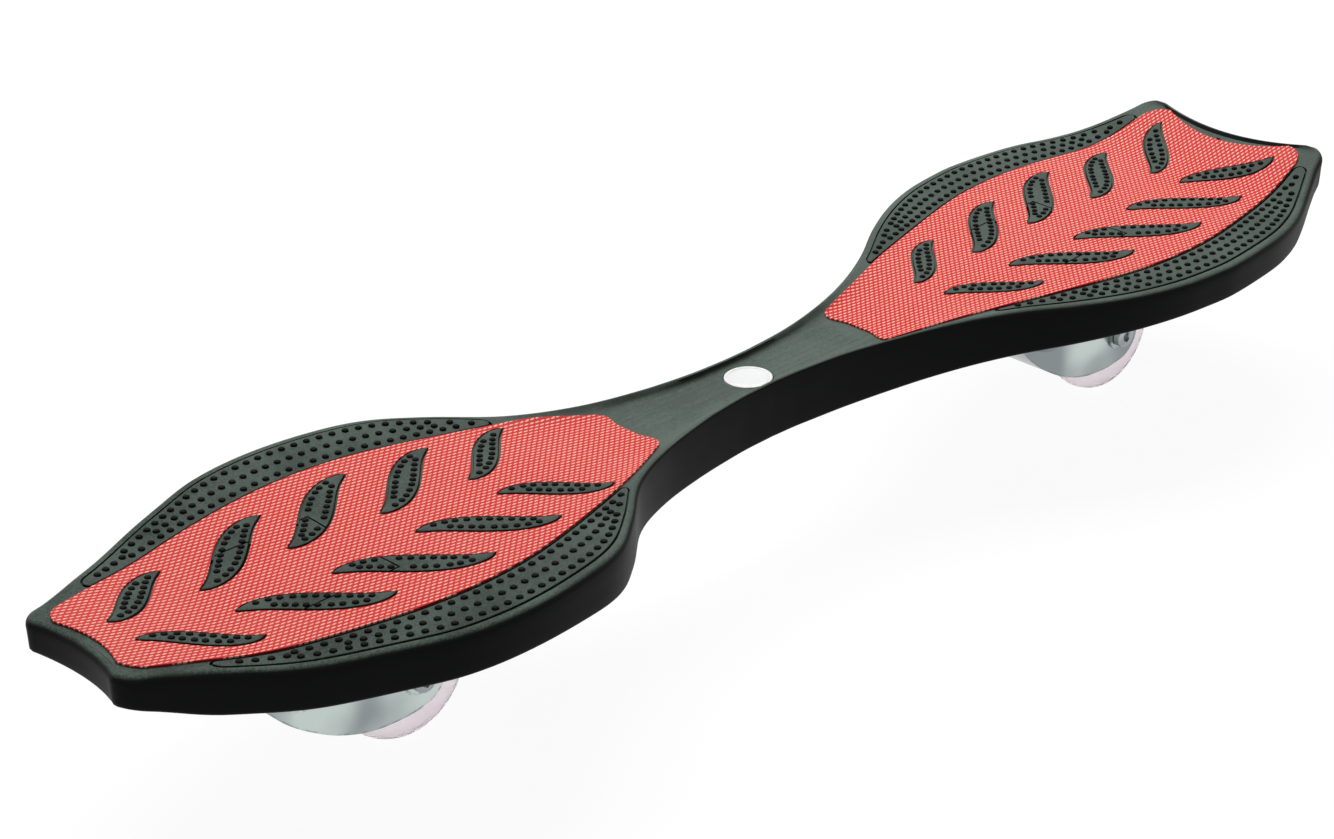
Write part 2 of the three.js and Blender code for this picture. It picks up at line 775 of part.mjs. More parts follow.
function forkSlotOutline() {
  const front = forkFrontShares.slice(0, 2).map(([along, down]) => [along * axleOffset + forkSheet, -down * axleDrop]);
  const deep = -axleDrop - wheelRadius;
  const far = axleOffset + wheelRadius * 2;
  return [[-forkHeadRadius + forkSlotSetback, forkHeadBase], ...front, [front[1][0], deep], [far, deep],
    [far, forkHeadBase]];
}

function makeFork() {
  const cheeks = slab(cheekOutline(), forkOuterWidth);
  const cupBase = forkHeadBase - forkCupDepth;
  const cup = turned([[0, forkHeadTop], [forkHeadRadius, forkHeadTop], [forkHeadRadius, forkHeadBase],
    [forkCupRadius, cupBase], [0, cupBase]], fineSides);
  const cupHollow = turned([[0, forkHeadBase], [forkHeadRadius - forkSheet, forkHeadBase],
    [forkCupRadius - forkSheet, cupBase - seatGap], [0, cupBase - seatGap]], fineSides);
  const slot = slab(forkSlotOutline(), forkInnerWidth);
  const arch = turnedOnAxle(disc(wheelRadius + wheelArchGap, -forkInnerWidth / 2, forkInnerWidth / 2), fineSides)
    .translate([axleOffset, 0, -axleDrop]);
  const collar = turned(ring(bearingRadius + seatGap, bearingRadius + seatGap + bearingCollarWall,
    swivelBearingBase, forkHeadBase + seatGap));
  const pad = turnedOnAxle(disc(axlePadRadius, -forkOuterWidth / 2 - axlePadHeight,
    forkOuterWidth / 2 + axlePadHeight)).translate([axleOffset, 0, -axleDrop]);
  const padSlot = slab([[-farReach, -farReach], [farReach, -farReach], [farReach, 0], [-farReach, 0]],
    forkOuterWidth - forkSheet);
  const axleHole = turnedOnAxle(disc(axleDiameter / 2 + seatGap, -forkOuterWidth, forkOuterWidth))
    .translate([axleOffset, 0, -axleDrop]);
  const pinHole = turned(disc(kingpinHeadRadius, forkHeadBase - overrun, forkHeadTop + overrun));
  return cheeks.add(cup).subtract(cupHollow).subtract(slot).subtract(arch)
    .add(pad.subtract(padSlot)).add(collar)
    .subtract(axleHole).subtract(pinHole).subtract(ballGroove());
}

const ballLevel = -seatGap - raceThickness - headGap / 2;

// A ring-shaped groove that seats the swivel balls
function ballGroove() {
  const radius = (swivelBallDiameter / 2 + seatGap) / Math.cos(Math.PI / curveSteps);
  const profile = Array.from({ length: curveSteps }, (_, i) => {
    const angle = 2 * Math.PI * (i + 0.5) / curveSteps;
    return [swivelBallCircle + radius * Math.cos(angle), ballLevel + radius * Math.sin(angle)];
  });
  return turned([...profile, profile[0]], fineSides);
}

function makeUpperRace() {
  const base = -seatGap - raceThickness;
  return turned(ring(kingpinRadius + seatGap, raceRadius, base, -seatGap), fineSides).subtract(ballGroove());
}

function makeBallCage() {
  const cage = turned(ring(swivelBallCircle - cageHalfWidth, swivelBallCircle + cageHalfWidth,
    ballLevel - cageThickness / 2, ballLevel + cageThickness / 2), fineSides);
  const balls = Array.from({ length: swivelBallCount }, (_, i) => {
    const angle = 2 * Math.PI * i / swivelBallCount;
    const ball = new THREE.SphereGeometry(swivelBallDiameter / 2, ballSides, ballRings);
    ball.translate(swivelBallCircle * Math.cos(angle), swivelBallCircle * Math.sin(angle), ballLevel);
    return solidOf(ball);
  });
  return joined([cage, ...balls]);
}

function makeDustSeal() {
  const base = forkHeadTop + seatGap;
  return turned(ring(raceRadius - sealWidth, raceRadius, base, base + headGap - 2 * seatGap), fineSides);
}

function hexagon(radius, bottom, top, onAxle) {
  const shape = Array.from({ length: hexSides }, (_, i) => [radius * Math.cos(2 * Math.PI * i / hexSides),
    radius * Math.sin(2 * Math.PI * i / hexSides)]);
  return onAxle ? slab(shape, top - bottom).translate([0, (top + bottom) / 2, 0]) : plate(shape, bottom, top);
}

function makeKingpin() {
  const headTop = swivelBearingBase - seatGap;
  const shank = turned(disc(kingpinRadius, headTop - seatGap, kingpinRise));
  return shank.add(hexagon(kingpinHeadRadius, headTop - kingpinHeadHeight, headTop, false));
}

function makePivotSleeve() {
  const flangeBase = podDepth + seatGap;
  return turned([[sleeveBore, 0], [sleeveRadius, 0], [sleeveRadius, flangeBase],
    [sleeveFlangeRadius, flangeBase], [sleeveFlangeRadius, flangeBase + sleeveFlangeThickness],
    [sleeveBore, flangeBase + sleeveFlangeThickness], [sleeveBore, 0]]);
}

function makeKingpinNut() {
  const base = podDepth + 2 * seatGap + sleeveFlangeThickness;
  const bore = turned(disc(kingpinRadius + seatGap, base - overrun, base + lockNutHeight + overrun));
  return hexagon(lockNutRadius, base, base + lockNutHeight, false).subtract(bore);
}

// A shielded ball bearing from its inner face outward: two races and the shield set back between them
function bearingProfile(from) {
  const [bore, outer] = [bearingBore / 2 + seatGap, bearingRadius];
  const [a, b] = [bore + bearingRaceWall, outer - bearingRaceWall];
  const face = from + Math.sign(from) * bearingWidth;
  const shield = face - Math.sign(from) * bearingShieldRecess;
  return [[bore, from], [outer, from], [outer, face], [b, face], [b, shield], [a, shield], [a, face],
    [bore, face], [bore, from]];
}

function makeSwivelBearing() {
  return turned(bearingProfile(swivelBearingBase + bearingWidth));
}

// Wheel pieces, about the axle along Y

const bearingInner = bearingSpacerLength / 2 + seatGap;
const cheekFace = forkOuterWidth / 2 + axlePadHeight;

function makeWheelBearing(side) {
  return turnedOnAxle(bearingProfile(side * bearingInner));
}

function makeBearingSpacer() {
  const bore = axleDiameter / 2 + seatGap;
  return turnedOnAxle(ring(bore, bore + bearingSpacerWall, -bearingSpacerLength / 2, bearingSpacerLength / 2));
}

function makeAxleWasher(side) {
  const inner = bearingInner + bearingWidth + seatGap;
  const outer = forkInnerWidth / 2 - seatGap;
  const bore = axleDiameter / 2 + seatGap;
  return turnedOnAxle(side > 0 ? ring(bore, axleWasherRadius, inner, outer) : ring(bore, axleWasherRadius, -outer, -inner));
}

function makeAxleBolt() {
  const headBase = -cheekFace - seatGap;
  const headEnd = headBase - axleHeadHeight;
  const threadEnd = cheekFace + seatGap + axleNutHeight + axleThreadEnd;
  return turnedOnAxle([[0, headEnd + axleSocketDepth], [axleSocketRadius, headEnd + axleSocketDepth],
    [axleSocketRadius, headEnd], [axleHeadRadius - axleHeadChamfer, headEnd], [axleHeadRadius, headEnd + axleSocketDepth / 2],
    [axleHeadRadius, headBase], [axleDiameter / 2, headBase], [axleDiameter / 2, threadEnd], [0, threadEnd]]);
}

function makeAxleNut() {
  const base = cheekFace + seatGap;
  const bore = turnedOnAxle(disc(axleDiameter / 2 + seatGap, base - overrun, base + axleNutHeight + overrun));
  return hexagon(lockNutRadius, base, base + axleNutHeight, true).subtract(bore);
}

function makeWheelCore() {
  const half = coreWidth / 2;
  const rimRadius = coreDiameter / 2;
  const seat = bearingRadius + seatGap;
  const hub = seat + coreHubWall;
  const web = coreWeb / 2;
  const shoulder = bearingBore / 2 + bearingSpacerWall + runGap;
  const stop = bearingSpacerLength / 2;
  const face = bearingInner + bearingWidth;
  const core = turnedOnAxle([[shoulder, -stop], [seat, -stop], [seat, -face], [hub, -face], [hub, -web],
    [rimRadius - coreRim, -web], [rimRadius, -half], [rimRadius, half], [rimRadius - coreRim, web],
    [hub, web], [hub, face], [seat, face],
    [seat, stop], [shoulder, stop], [shoulder, -stop]], fineSides);
  const middle = (hub + rimRadius - coreRim) / 2;
  const holes = Array.from({ length: coreHoleCount }, (_, i) => {
    const angle = 2 * Math.PI * i / coreHoleCount;
    return turnedOnAxle(disc(coreHoleDiameter / 2, -coreWeb, coreWeb), ballSides)
      .translate([middle * Math.cos(angle), 0, middle * Math.sin(angle)]);
  });
  return core.subtract(joined(holes));
}

function makeTyre() {
  const inner = coreDiameter / 2 + seatGap;
  const half = wheelWidth / 2;
  const rounding = Math.min(tyreShoulder, wheelRadius - inner);
  const crown = Array.from({ length: curveSteps + 1 }, (_, i) => {
    const angle = Math.PI * (i / curveSteps - 0.5);
    return [wheelRadius - rounding * (1 - Math.cos(angle)), half * Math.sin(angle)];
  });
  const wall = coreWidth / 2;
  return turnedOnAxle([[inner, -wall], ...crown, [inner, wall], [inner, -wall]], wheelSides);
}

// Assembly

function material(color, roughness, metalness) {
  return new THREE.MeshStandardMaterial({ color, roughness, metalness });
}

const finishes = {
  deck: () => material(0x343a38, 0.6, 0),
  sheet: () => material(0xd94a4e, 0.8, 0),
  pad: () => material(0x454d4a, 0.75, 0),
  badge: () => material(0xf2f3f2, 0.35, 0),
  chrome: () => material(0xc9cdd0, 0.15, 1),
  zinc: () => material(0xa9adb0, 0.35, 1),
  bearing: () => material(0x8e9296, 0.25, 1),
  seal: () => material(0x1d1d1d, 0.8, 0),
  core: () => material(0xe8e6e6, 0.45, 0),
  tyre: () => material(0xe6d5d8, 0.35, 0),
};

function meshOf(name, solid, finish) {
  const mesh = new THREE.Mesh(geometryOf(solid), finishes[finish]());
  mesh.name = name;
  return mesh;
}

function casterOf(end) {
  const caster = new THREE.Group();
  caster.applyMatrix4(casterFrame(end));
  const add = (name, solid, finish) => caster.add(meshOf(`${end.name}_${name}`, solid, finish));
  add('kingpin', makeKingpin(), 'zinc');
  add('kingpin_nut', makeKingpinNut(), 'zinc');
  add('pivot_sleeve', makePivotSleeve(), 'zinc');
  add('upper_race', makeUpperRace(), 'zinc');
  add('dust_seal', makeDustSeal(), 'seal');
  add('ball_cage', makeBallCage(), 'bearing');
  add('swivel_bearing', makeSwivelBearing(), 'bearing');
  add('fork', makeFork(), 'chrome');
  const wheel = new THREE.Group();
  wheel.position.set(axleOffset, 0, -axleDrop);
  const addToWheel = (name, solid, finish) => wheel.add(meshOf(`${end.name}_${name}`, solid, finish));
  addToWheel('axle_bolt', makeAxleBolt(), 'zinc');
  addToWheel('axle_nut', makeAxleNut(), 'zinc');
  addToWheel('axle_washer_left', makeAxleWasher(-1), 'zinc');
  addToWheel('axle_washer_right', makeAxleWasher(1), 'zinc');
  addToWheel('bearing_left', makeWheelBearing(-1), 'bearing');
  addToWheel('bearing_right', makeWheelBearing(1), 'bearing');
  addToWheel('bearing_spacer', makeBearingSpacer(), 'zinc');
  addToWheel('wheel_core', makeWheelCore(), 'core');
  addToWheel('tyre', makeTyre(), 'tyre');
  caster.add(wheel);
  return caster;
}

const board = new THREE.Group();
board.add(meshOf('deck', makeDeck(), 'deck'));
board.add(meshOf('centre_badge', makeBadge(), 'badge'));
ends.forEach((end) => {
  board.add(meshOf(`${end.name}_grip_sheet`, gripSheet(end), 'sheet'));
  board.add(meshOf(`${end.name}_bay_cover`, bayCover(end), 'deck'));
  board.add(meshOf(`${end.name}_tread_pad_left`, treadPad(end, -1), 'pad'));
  board.add(meshOf(`${end.name}_tread_pad_right`, treadPad(end, 1), 'pad'));
  board.add(casterOf(end));
});

export default board;
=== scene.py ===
import bpy
import bmesh
import json
import math
from mathutils import Matrix, Vector


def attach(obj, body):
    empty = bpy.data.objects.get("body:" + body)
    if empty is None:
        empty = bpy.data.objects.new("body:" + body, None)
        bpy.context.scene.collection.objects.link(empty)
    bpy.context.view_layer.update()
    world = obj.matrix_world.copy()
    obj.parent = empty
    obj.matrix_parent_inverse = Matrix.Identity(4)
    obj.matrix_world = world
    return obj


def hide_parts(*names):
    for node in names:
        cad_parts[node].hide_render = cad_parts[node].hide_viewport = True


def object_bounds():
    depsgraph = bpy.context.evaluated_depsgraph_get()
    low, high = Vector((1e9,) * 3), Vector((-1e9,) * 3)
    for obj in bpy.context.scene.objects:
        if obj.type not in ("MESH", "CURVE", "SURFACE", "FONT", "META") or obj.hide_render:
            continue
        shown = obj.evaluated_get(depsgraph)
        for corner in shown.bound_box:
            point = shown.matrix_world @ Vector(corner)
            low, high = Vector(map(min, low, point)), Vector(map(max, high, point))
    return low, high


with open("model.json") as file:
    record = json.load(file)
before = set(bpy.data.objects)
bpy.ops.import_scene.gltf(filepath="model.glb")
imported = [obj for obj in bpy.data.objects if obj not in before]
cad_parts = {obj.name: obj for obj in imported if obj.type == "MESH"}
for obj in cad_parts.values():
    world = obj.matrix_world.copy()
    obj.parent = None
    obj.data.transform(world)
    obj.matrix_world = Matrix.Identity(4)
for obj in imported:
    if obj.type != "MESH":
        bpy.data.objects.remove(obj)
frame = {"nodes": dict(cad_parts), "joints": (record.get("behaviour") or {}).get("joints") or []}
cadLow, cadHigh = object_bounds()
mm = 0.001  # every size below is written in millimetres
print("frame loaded")


# curves shared by the deck, its sheets and its pads

def clamp(value, low=0.0, high=1.0):
    return max(low, min(high, value))


def smooth(share):
    s = clamp(share)
    return s * s * (3 - 2 * s)


def curveThrough(points):
    slopes = []
    for i in range(len(points)):
        before, after = points[max(i - 1, 0)], points[min(i + 1, len(points) - 1)]
        slopes.append((after[1] - before[1]) / (after[0] - before[0]))

    def at(place):
        i = 0
        while i < len(points) - 2 and place > points[i + 1][0]:
            i += 1
        span = points[i + 1][0] - points[i][0]
        s = clamp((place - points[i][0]) / span)
        rise = smooth(s)
        leave = s * (1 - s) ** 2 * span * slopes[i]
        arrive = s * s * (1 - s) * span * slopes[i + 1]
        return points[i][1] * (1 - rise) + points[i + 1][1] * rise + leave - arrive
    return at


def kick(distance, blend, slope):
    if distance <= 0:
        return 0.0
    if distance < blend:
        return slope * distance * distance / (2 * blend)
    return slope * (distance - blend / 2)


def nearMiddle(x, inner, outer):
    return 1 - smooth((abs(x) - inner) / (outer - inner))


deckValues = {
    "halfLength": 423.0, "endTrim": 0.35,
    "noseWidth": 221.2, "tailWidth": 217.2, "neckWidth": 39.0,
    "footHeight": 114.02, "platformDepth": 23.4, "tailRise": 2.9,
    "neckDip": 2.5, "neckDipInner": 70.0, "neckDipOuter": 160.0,
    "neckBelly": 12.9, "neckBellyInner": 30.0, "neckBellyOuter": 255.0,
    "hollowPower": 8.0, "hollowInner": 70.0, "hollowOuter": 190.0, "platformPower": 2.2, "hollowRim": 0.6,
    "hollow": [  # place along the deck, depth of its middle under its rims
        (-423, 0), (-395, 1), (-370, 1.7), (-311, 2.6), (-257, 3.6), (-210, 4.2), (-160, 4.2), (-92, 4.3),
        (-50, 4.3), (50, 4.3), (92, 4.3), (167, 2.8), (226, 2.6), (280, 2.4), (330, 2), (378, 1.5),
        (400, 0.8), (423, 0)],
    "rimRise": [  # place along the deck, height of its rims over the plain line
        (-423, 0), (-380, 1.4), (-300, 2.2), (-220, 2.4), (-170, 1.4), (-120, 0.2), (-60, 0), (60, 0),
        (120, 0), (200, 0.3), (260, 1.1), (300, 1.6), (350, 1.5), (395, 0.5), (423, 0)],
    "draft": 1.5, "wall": 3.6, "endWall": 5.0, "topPlate": 4.0, "innerCorner": 4.0,
    "topRadius": 3.8, "neckRadius": 1.6, "neckRadiusInner": 70.0, "neckRadiusOuter": 165.0,
    "bottomRadius": 2.5, "noseCorner": 11.0, "tailCorner": 10.0,
    "noseNotch": 5.5, "noseNotchReach": 33.0, "tailNotch": 9.0, "tailNotchReach": 52.0,
    "noseKick": (339.0, 30.0, 0.155), "tailKick": (349.0, 42.0, 0.33),  # start, blend, slope
    "noseLift": (42.0, 16.0, 0.21),  # reach from the end, blend, slope
    "spine": (-385, 372),  # the line that the rings of the body close on
    "noseShares": [  # place as a share of the half length, width as a share of the gain over the neck
        (0, 0), (0.06, 0.014), (0.14, 0.073), (0.225, 0.19), (0.3, 0.37), (0.37, 0.66), (0.425, 0.85),
        (0.485, 0.945), (0.58, 1), (0.665, 0.962), (0.738, 0.835), (0.808, 0.69), (0.883, 0.497),
        (0.962, 0.293), (1, 0.235)],
    "tailShares": [
        (0, 0), (0.05, 0.008), (0.13, 0.052), (0.22, 0.16), (0.29, 0.287), (0.355, 0.448), (0.43, 0.677),
        (0.5, 0.848), (0.565, 0.949), (0.63, 0.993), (0.665, 1), (0.735, 0.97), (0.79, 0.925),
        (0.845, 0.838), (0.893, 0.736), (0.935, 0.64), (0.972, 0.565), (1, 0.53)],
}
noseWidthAt = curveThrough(deckValues["noseShares"])
tailWidthAt = curveThrough(deckValues["tailShares"])
hollowAt = curveThrough(deckValues["hollow"])
rimRiseAt = curveThrough(deckValues["rimRise"])


def cornerDraw(toEnd, radius):
    inside = max(radius - max(toEnd, 0), 0)
    return radius - math.sqrt(radius * radius - inside * inside)


def sideWidth(x):  # half width of the deck before its end corners are rounded
    nose = x < 0
    widest = deckValues["noseWidth" if nose else "tailWidth"] / 2
    share = (noseWidthAt if nose else tailWidthAt)(abs(x) / deckValues["halfLength"])
    neck = deckValues["neckWidth"] / 2
    return neck + (widest - neck) * share


def deckHalfWidth(x):
    corner = deckValues["noseCorner" if x < 0 else "tailCorner"]
    return sideWidth(x) - cornerDraw(deckValues["halfLength"] - abs(x), corner)


def kickHeight(x):
    noseStart, noseBlend, noseSlope = deckValues["noseKick"]
    tailStart, tailBlend, tailSlope = deckValues["tailKick"]
    return kick(-x - noseStart, noseBlend, noseSlope) + kick(x - tailStart, tailBlend, tailSlope)


def topHeight(x):
    dip = deckValues["neckDip"] * nearMiddle(x, deckValues["neckDipInner"], deckValues["neckDipOuter"])
    return deckValues["footHeight"] + kickHeight(x) + rimRiseAt(x) - dip


def bottomHeight(x):
    inner, outer = deckValues["neckBellyInner"], deckValues["neckBellyOuter"]
    belly = deckValues["neckBelly"] * nearMiddle(x, inner, outer)
    reach, blend, slope = deckValues["noseLift"]
    lift = kick(reach - deckValues["halfLength"] - x, blend, slope)
    rise = deckValues["tailRise"] * (1 - nearMiddle(max(x, 0), inner, outer))
    level = deckValues["footHeight"] + kickHeight(x) + rimRiseAt(x)
    return level - deckValues["platformDepth"] - belly + lift + rise


def edgeRadius(x):  # the rounding between top and wall, tighter along the neck
    near = nearMiddle(x, deckValues["neckRadiusInner"], deckValues["neckRadiusOuter"])
    return deckValues["topRadius"] + (deckValues["neckRadius"] - deckValues["topRadius"]) * near


def hollowDepth(x, y):  # under the rims: a trough along the neck, a shallow dish beyond
    near = nearMiddle(x, deckValues["hollowInner"], deckValues["hollowOuter"])
    power = deckValues["platformPower"] + (deckValues["hollowPower"] - deckValues["platformPower"]) * near
    rim = deckHalfWidth(x) - edgeRadius(x) - deckValues["hollowRim"]
    return hollowAt(x) * (1 - clamp(abs(y) / rim) ** power)


def surfaceHeight(x, y):
    return topHeight(x) - hollowDepth(x, y)


# mesh helpers

def meshPiece(name, points, faces, smoothAngle=35.0):
    mesh = bpy.data.meshes.new(name)
    mesh.from_pydata([[c * mm for c in p] for p in points], [], faces)
    piece = bpy.data.objects.new(name, mesh)
    bpy.context.scene.collection.objects.link(piece)
    closeMesh(piece)
    shadeSmooth(piece, smoothAngle)
    return piece


def closeMesh(piece):
    distance = 0.01 * mm
    work = bmesh.new()
    work.from_mesh(piece.data)
    bmesh.ops.remove_doubles(work, verts=work.verts, dist=distance)
    bmesh.ops.dissolve_degenerate(work, edges=work.edges, dist=distance)
    bmesh.ops.recalc_face_normals(work, faces=work.faces)
    work.to_mesh(piece.data)
    work.free()


def shadeSmooth(piece, angle):
    mesh = piece.data
    mesh.polygons.foreach_set("use_smooth", [True] * len(mesh.polygons))
    mesh.set_sharp_from_angle(angle=math.radians(angle))


def applyModifier(piece, modifier):
    bpy.context.view_layer.objects.active = piece
    with bpy.context.temp_override(object=piece, active_object=piece, selected_objects=[piece]):
        bpy.ops.object.modifier_apply(modifier=modifier.name)


def combine(piece, other, operation):
    modifier = piece.modifiers.new(operation.lower(), "BOOLEAN")
    modifier.operation = operation
    modifier.object = other
    modifier.solver = "MANIFOLD"
    applyModifier(piece, modifier)
    piece.data.materials.clear()
    bpy.data.objects.remove(other)
    return piece


def joinInto(piece, others):
    work = bmesh.new()
    work.from_mesh(piece.data)
    for other in others:
        work.from_mesh(other.data)
        bpy.data.objects.remove(other)
    work.to_mesh(piece.data)
    work.free()
    return piece


def softenEdges(piece, width, segments=2, angle=40):
    modifier = piece.modifiers.new("soften", "BEVEL")
    modifier.width = width * mm
    modifier.segments = segments
    modifier.limit_method = "ANGLE"
    modifier.angle_limit = math.radians(angle)
    modifier.use_clamp_overlap = True
    modifier.miter_outer = "MITER_ARC"
    modifier.harden_normals = True


def ringFaces(rings, count):
    faces = []
    for i in range(rings - 1):
        for j in range(count):
            k = (j + 1) % count
            faces.append((i * count + j, i * count + k, (i + 1) * count + k, (i + 1) * count + j))
    return faces


def closedFaces(rings, count):  # the same with a face over the first and the last ring
    last = (rings - 1) * count
    return ringFaces(rings, count) + [tuple(range(count)), tuple(range(last, last + count))]


def boxPiece(name, low, high):
    points = [(x, y, z) for x in (low[0], high[0]) for y in (low[1], high[1]) for z in (low[2], high[2])]
    faces = [(0, 1, 3, 2), (4, 6, 7, 5), (0, 4, 5, 1), (2, 3, 7, 6), (0, 2, 6, 4), (1, 5, 7, 3)]
    return meshPiece(name, points, faces)


def prism(name, outline, low, high, axis="Z"):  # an outline raised from one height to another
    points = [(a, b, h) if axis == "Z" else (a, h, b) for h in (low, high) for a, b in outline]
    return meshPiece(name, points, closedFaces(2, len(outline)))


def turned(name, profile, sides=64, axis="Z"):  # closed where the profile ends on its first point
    points = []
    for radius, height in profile:
        for k in range(sides):
            a = 2 * math.pi * k / sides
            across, along = radius * math.cos(a), radius * math.sin(a)
            points.append(Vector((across, along, height) if axis == "Z" else (across, height, along)))
    faces = ringFaces if profile[0] == profile[-1] else closedFaces
    return meshPiece(name, points, faces(len(profile), sides))


# solids whose rings follow a plan outline, from a line under the middle to a line over it

def ringSolid(name, outline, spineReach, edge, over, under):
    count = len(outline)
    turn = sum(a[0] * b[1] - b[0] * a[1] for a, b in zip(outline, outline[1:] + outline[:1]))
    normals = []
    for i in range(count):
        before, after = outline[i - 1], outline[(i + 1) % count]
        tangent = Vector((after[0] - before[0], after[1] - before[1])).normalized()
        normals.append(Vector((-tangent.y, tangent.x)) * (1 if turn > 0 else -1))
    spine = [clamp(x, spineReach[0], spineReach[1]) for x, y in outline]
    shares = [1, 0.86, 0.72, 0.57, 0.42, 0.29, 0.18, 0.1, 0.04]

    def inwards(start, share, surface):
        ring = []
        for i, (x, y) in enumerate(start):
            across = (x + (spine[i] - x) * share, y * (1 - share))
            ring.append((across[0], across[1], surface(*across)))
        return ring

    edgeRings = []
    for inset, height in edge:
        ring = []
        for i, (x, y) in enumerate(outline):
            draw = inset(x, y, normals[i])
            ring.append((x + normals[i].x * draw, y + normals[i].y * draw, height(x, y)))
        edgeRings.append(ring)
    low = [(x, y) for x, y, z in edgeRings[0]]
    high = [(x, y) for x, y, z in edgeRings[-1]]
    rings = [inwards(low, share, under) for share in shares]
    rings += edgeRings
    rings += [inwards(high, share, over) for share in reversed(shares)]
    return meshPiece(name, sum(rings, []), ringFaces(len(rings), count))


# deck

def deckOutline():
    half, steps = deckValues["halfLength"], 210
    corners = [deckValues["noseCorner"], deckValues["tailCorner"]]
    arc = [1 - math.cos(math.pi / 2 * k / 8) for k in range(8)]
    span = 2 * half - sum(corners)
    places = [-half + corners[0] * share for share in arc]
    places += [-half + corners[0] + span * k / steps for k in range(steps + 1)]
    places += [half - corners[1] * share for share in reversed(arc)]
    side = [(x, deckHalfWidth(x)) for x in places]
    points = side + endEdge(half, side[-1][1]) + [(x, -y) for x, y in reversed(side)]
    return points + [(x, -y) for x, y in endEdge(-half, side[0][1])]


def endEdge(x, reach, steps=28):
    return [(x, reach * (1 - 2 * k / steps)) for k in range(1, steps)]


def notched(outline):  # draws the plain end of the outline in along the curved notch
    points = []
    for x, y in outline:
        keys = ("noseNotch", "noseNotchReach") if x < 0 else ("tailNotch", "tailNotchReach")
        depth, reach = [deckValues[key] for key in keys]
        limit = deckValues["halfLength"] - deckValues["endTrim"] - depth * max(1 - (y / reach) ** 2, 0)
        points.append((math.copysign(min(abs(x), limit), x), y))
    return points


def wallHeight(x, share):
    return bottomHeight(x) + (topHeight(x) - bottomHeight(x)) * share


def wallInset(x, normal, share, extra=0.0):
    return deckValues["draft"] * (1 - share) * (1 - normal.x ** 2) + extra


def deckEdge():
    rings = []
    ceiling, corner = deckValues["topPlate"], deckValues["innerCorner"]

    def inner(normal):
        return deckValues["wall"] + (deckValues["endWall"] - deckValues["wall"]) * normal.x ** 2

    def height(x, drop):
        return topHeight(x) - ceiling - drop

    for k in range(5):  # from the ceiling round the corner into the inner wall
        a = math.pi / 2 * k / 4
        rings.append((lambda x, y, n, a=a: wallInset(x, n, 0.75, inner(n) + corner * (1 - math.sin(a))),
                      lambda x, y, a=a: height(x, corner * (1 - math.cos(a)))))
    for share in (0.5, 0.25, 0.0):
        rings.append((lambda x, y, n, s=share: wallInset(x, n, s, inner(n)),
                      lambda x, y, s=share: wallHeight(x, s)))
    low = deckValues["bottomRadius"]
    for k in range(5):  # the round lower edge
        a = math.pi / 2 * k / 4
        rings.append((lambda x, y, n, a=a: wallInset(x, n, 0, low * (1 - math.sin(a))),
                      lambda x, y, a=a: bottomHeight(x) + low * (1 - math.cos(a))))
    for share in (0.35, 0.6):
        rings.append((lambda x, y, n, s=share: wallInset(x, n, s),
                      lambda x, y, s=share: wallHeight(x, s)))
    for k in range(7):  # the round upper edge
        a = math.pi / 2 * k / 6
        rings.append((lambda x, y, n, a=a: wallInset(x, n, 1, edgeRadius(x) * (1 - math.cos(a))),
                      lambda x, y, a=a: topHeight(x) - edgeRadius(x) * (1 - math.sin(a))))
    return rings


casterTilt = math.radians(30)
footBeforeHub = 13.0  # from the wheel's hub towards the nose, to the middle of the leaf pattern
joints = {joint["name"]: joint for joint in frame["joints"]}
ends = []
for endName, sign in (("nose", -1), ("tail", 1)):
    pivot = Vector(joints[endName + "_swivel"]["pos_m"]) / mm
    hub = Vector(joints[endName + "_wheel_spin"]["pos_m"]) / mm
    ends.append({"name": endName, "sign": sign, "pivot": pivot, "foot": hub.x - footBeforeHub})


def casterPlace(end):  # origin at the pod's face, +Z up the kingpin, +X towards the wheel
    return Matrix.Translation(end["pivot"] * mm) @ Matrix.Rotation(-casterTilt, 4, "Y")


underValues = {
    "ribThickness": 2.8, "ribPitch": 52.0, "ribRowGap": 42.0, "ribRecess": 2.5, "neckWebPitch": 46.0,
    "ribRoof": 2.5, "ribInset": 0.6, "ribEndInset": 5.0,
    "podRadius": 30.0, "podFlare": 3.0, "podTall": 64.0, "podDepth": 16.0, "podRoom": 4.0, "podRoof": 3.0,
    "wellRadius": 13.0, "wellDepth": 32.0, "wellRoof": 2.0, "boreRadius": 6.6,
}
bayValues = {
    "length": 81.0, "width": 70.0, "back": 48.0, "cover": 3.0, "gap": 0.4, "ledge": 3.0,
    "floorDepth": 15.5, "wall": 2.6, "skirt": 1.8, "skirtDepth": 5.0, "seam": 1.0, "seamDepth": 0.4,
    "bed": 0.3, "sink": {"nose": 1.3, "tail": 2.5},
}


def coverHeight(end):  # top of the bay cover, just under the dished sheet
    return deckValues["footHeight"] - bayValues["sink"][end["name"]]


def bayBox(name, end, inset, low, high):
    x, y = bayValues["length"] / 2 - inset, bayValues["width"] / 2 - inset
    middle = end["foot"] - bayValues["back"]
    return boxPiece(name, (middle - x, -y, low), (middle + x, y, high))


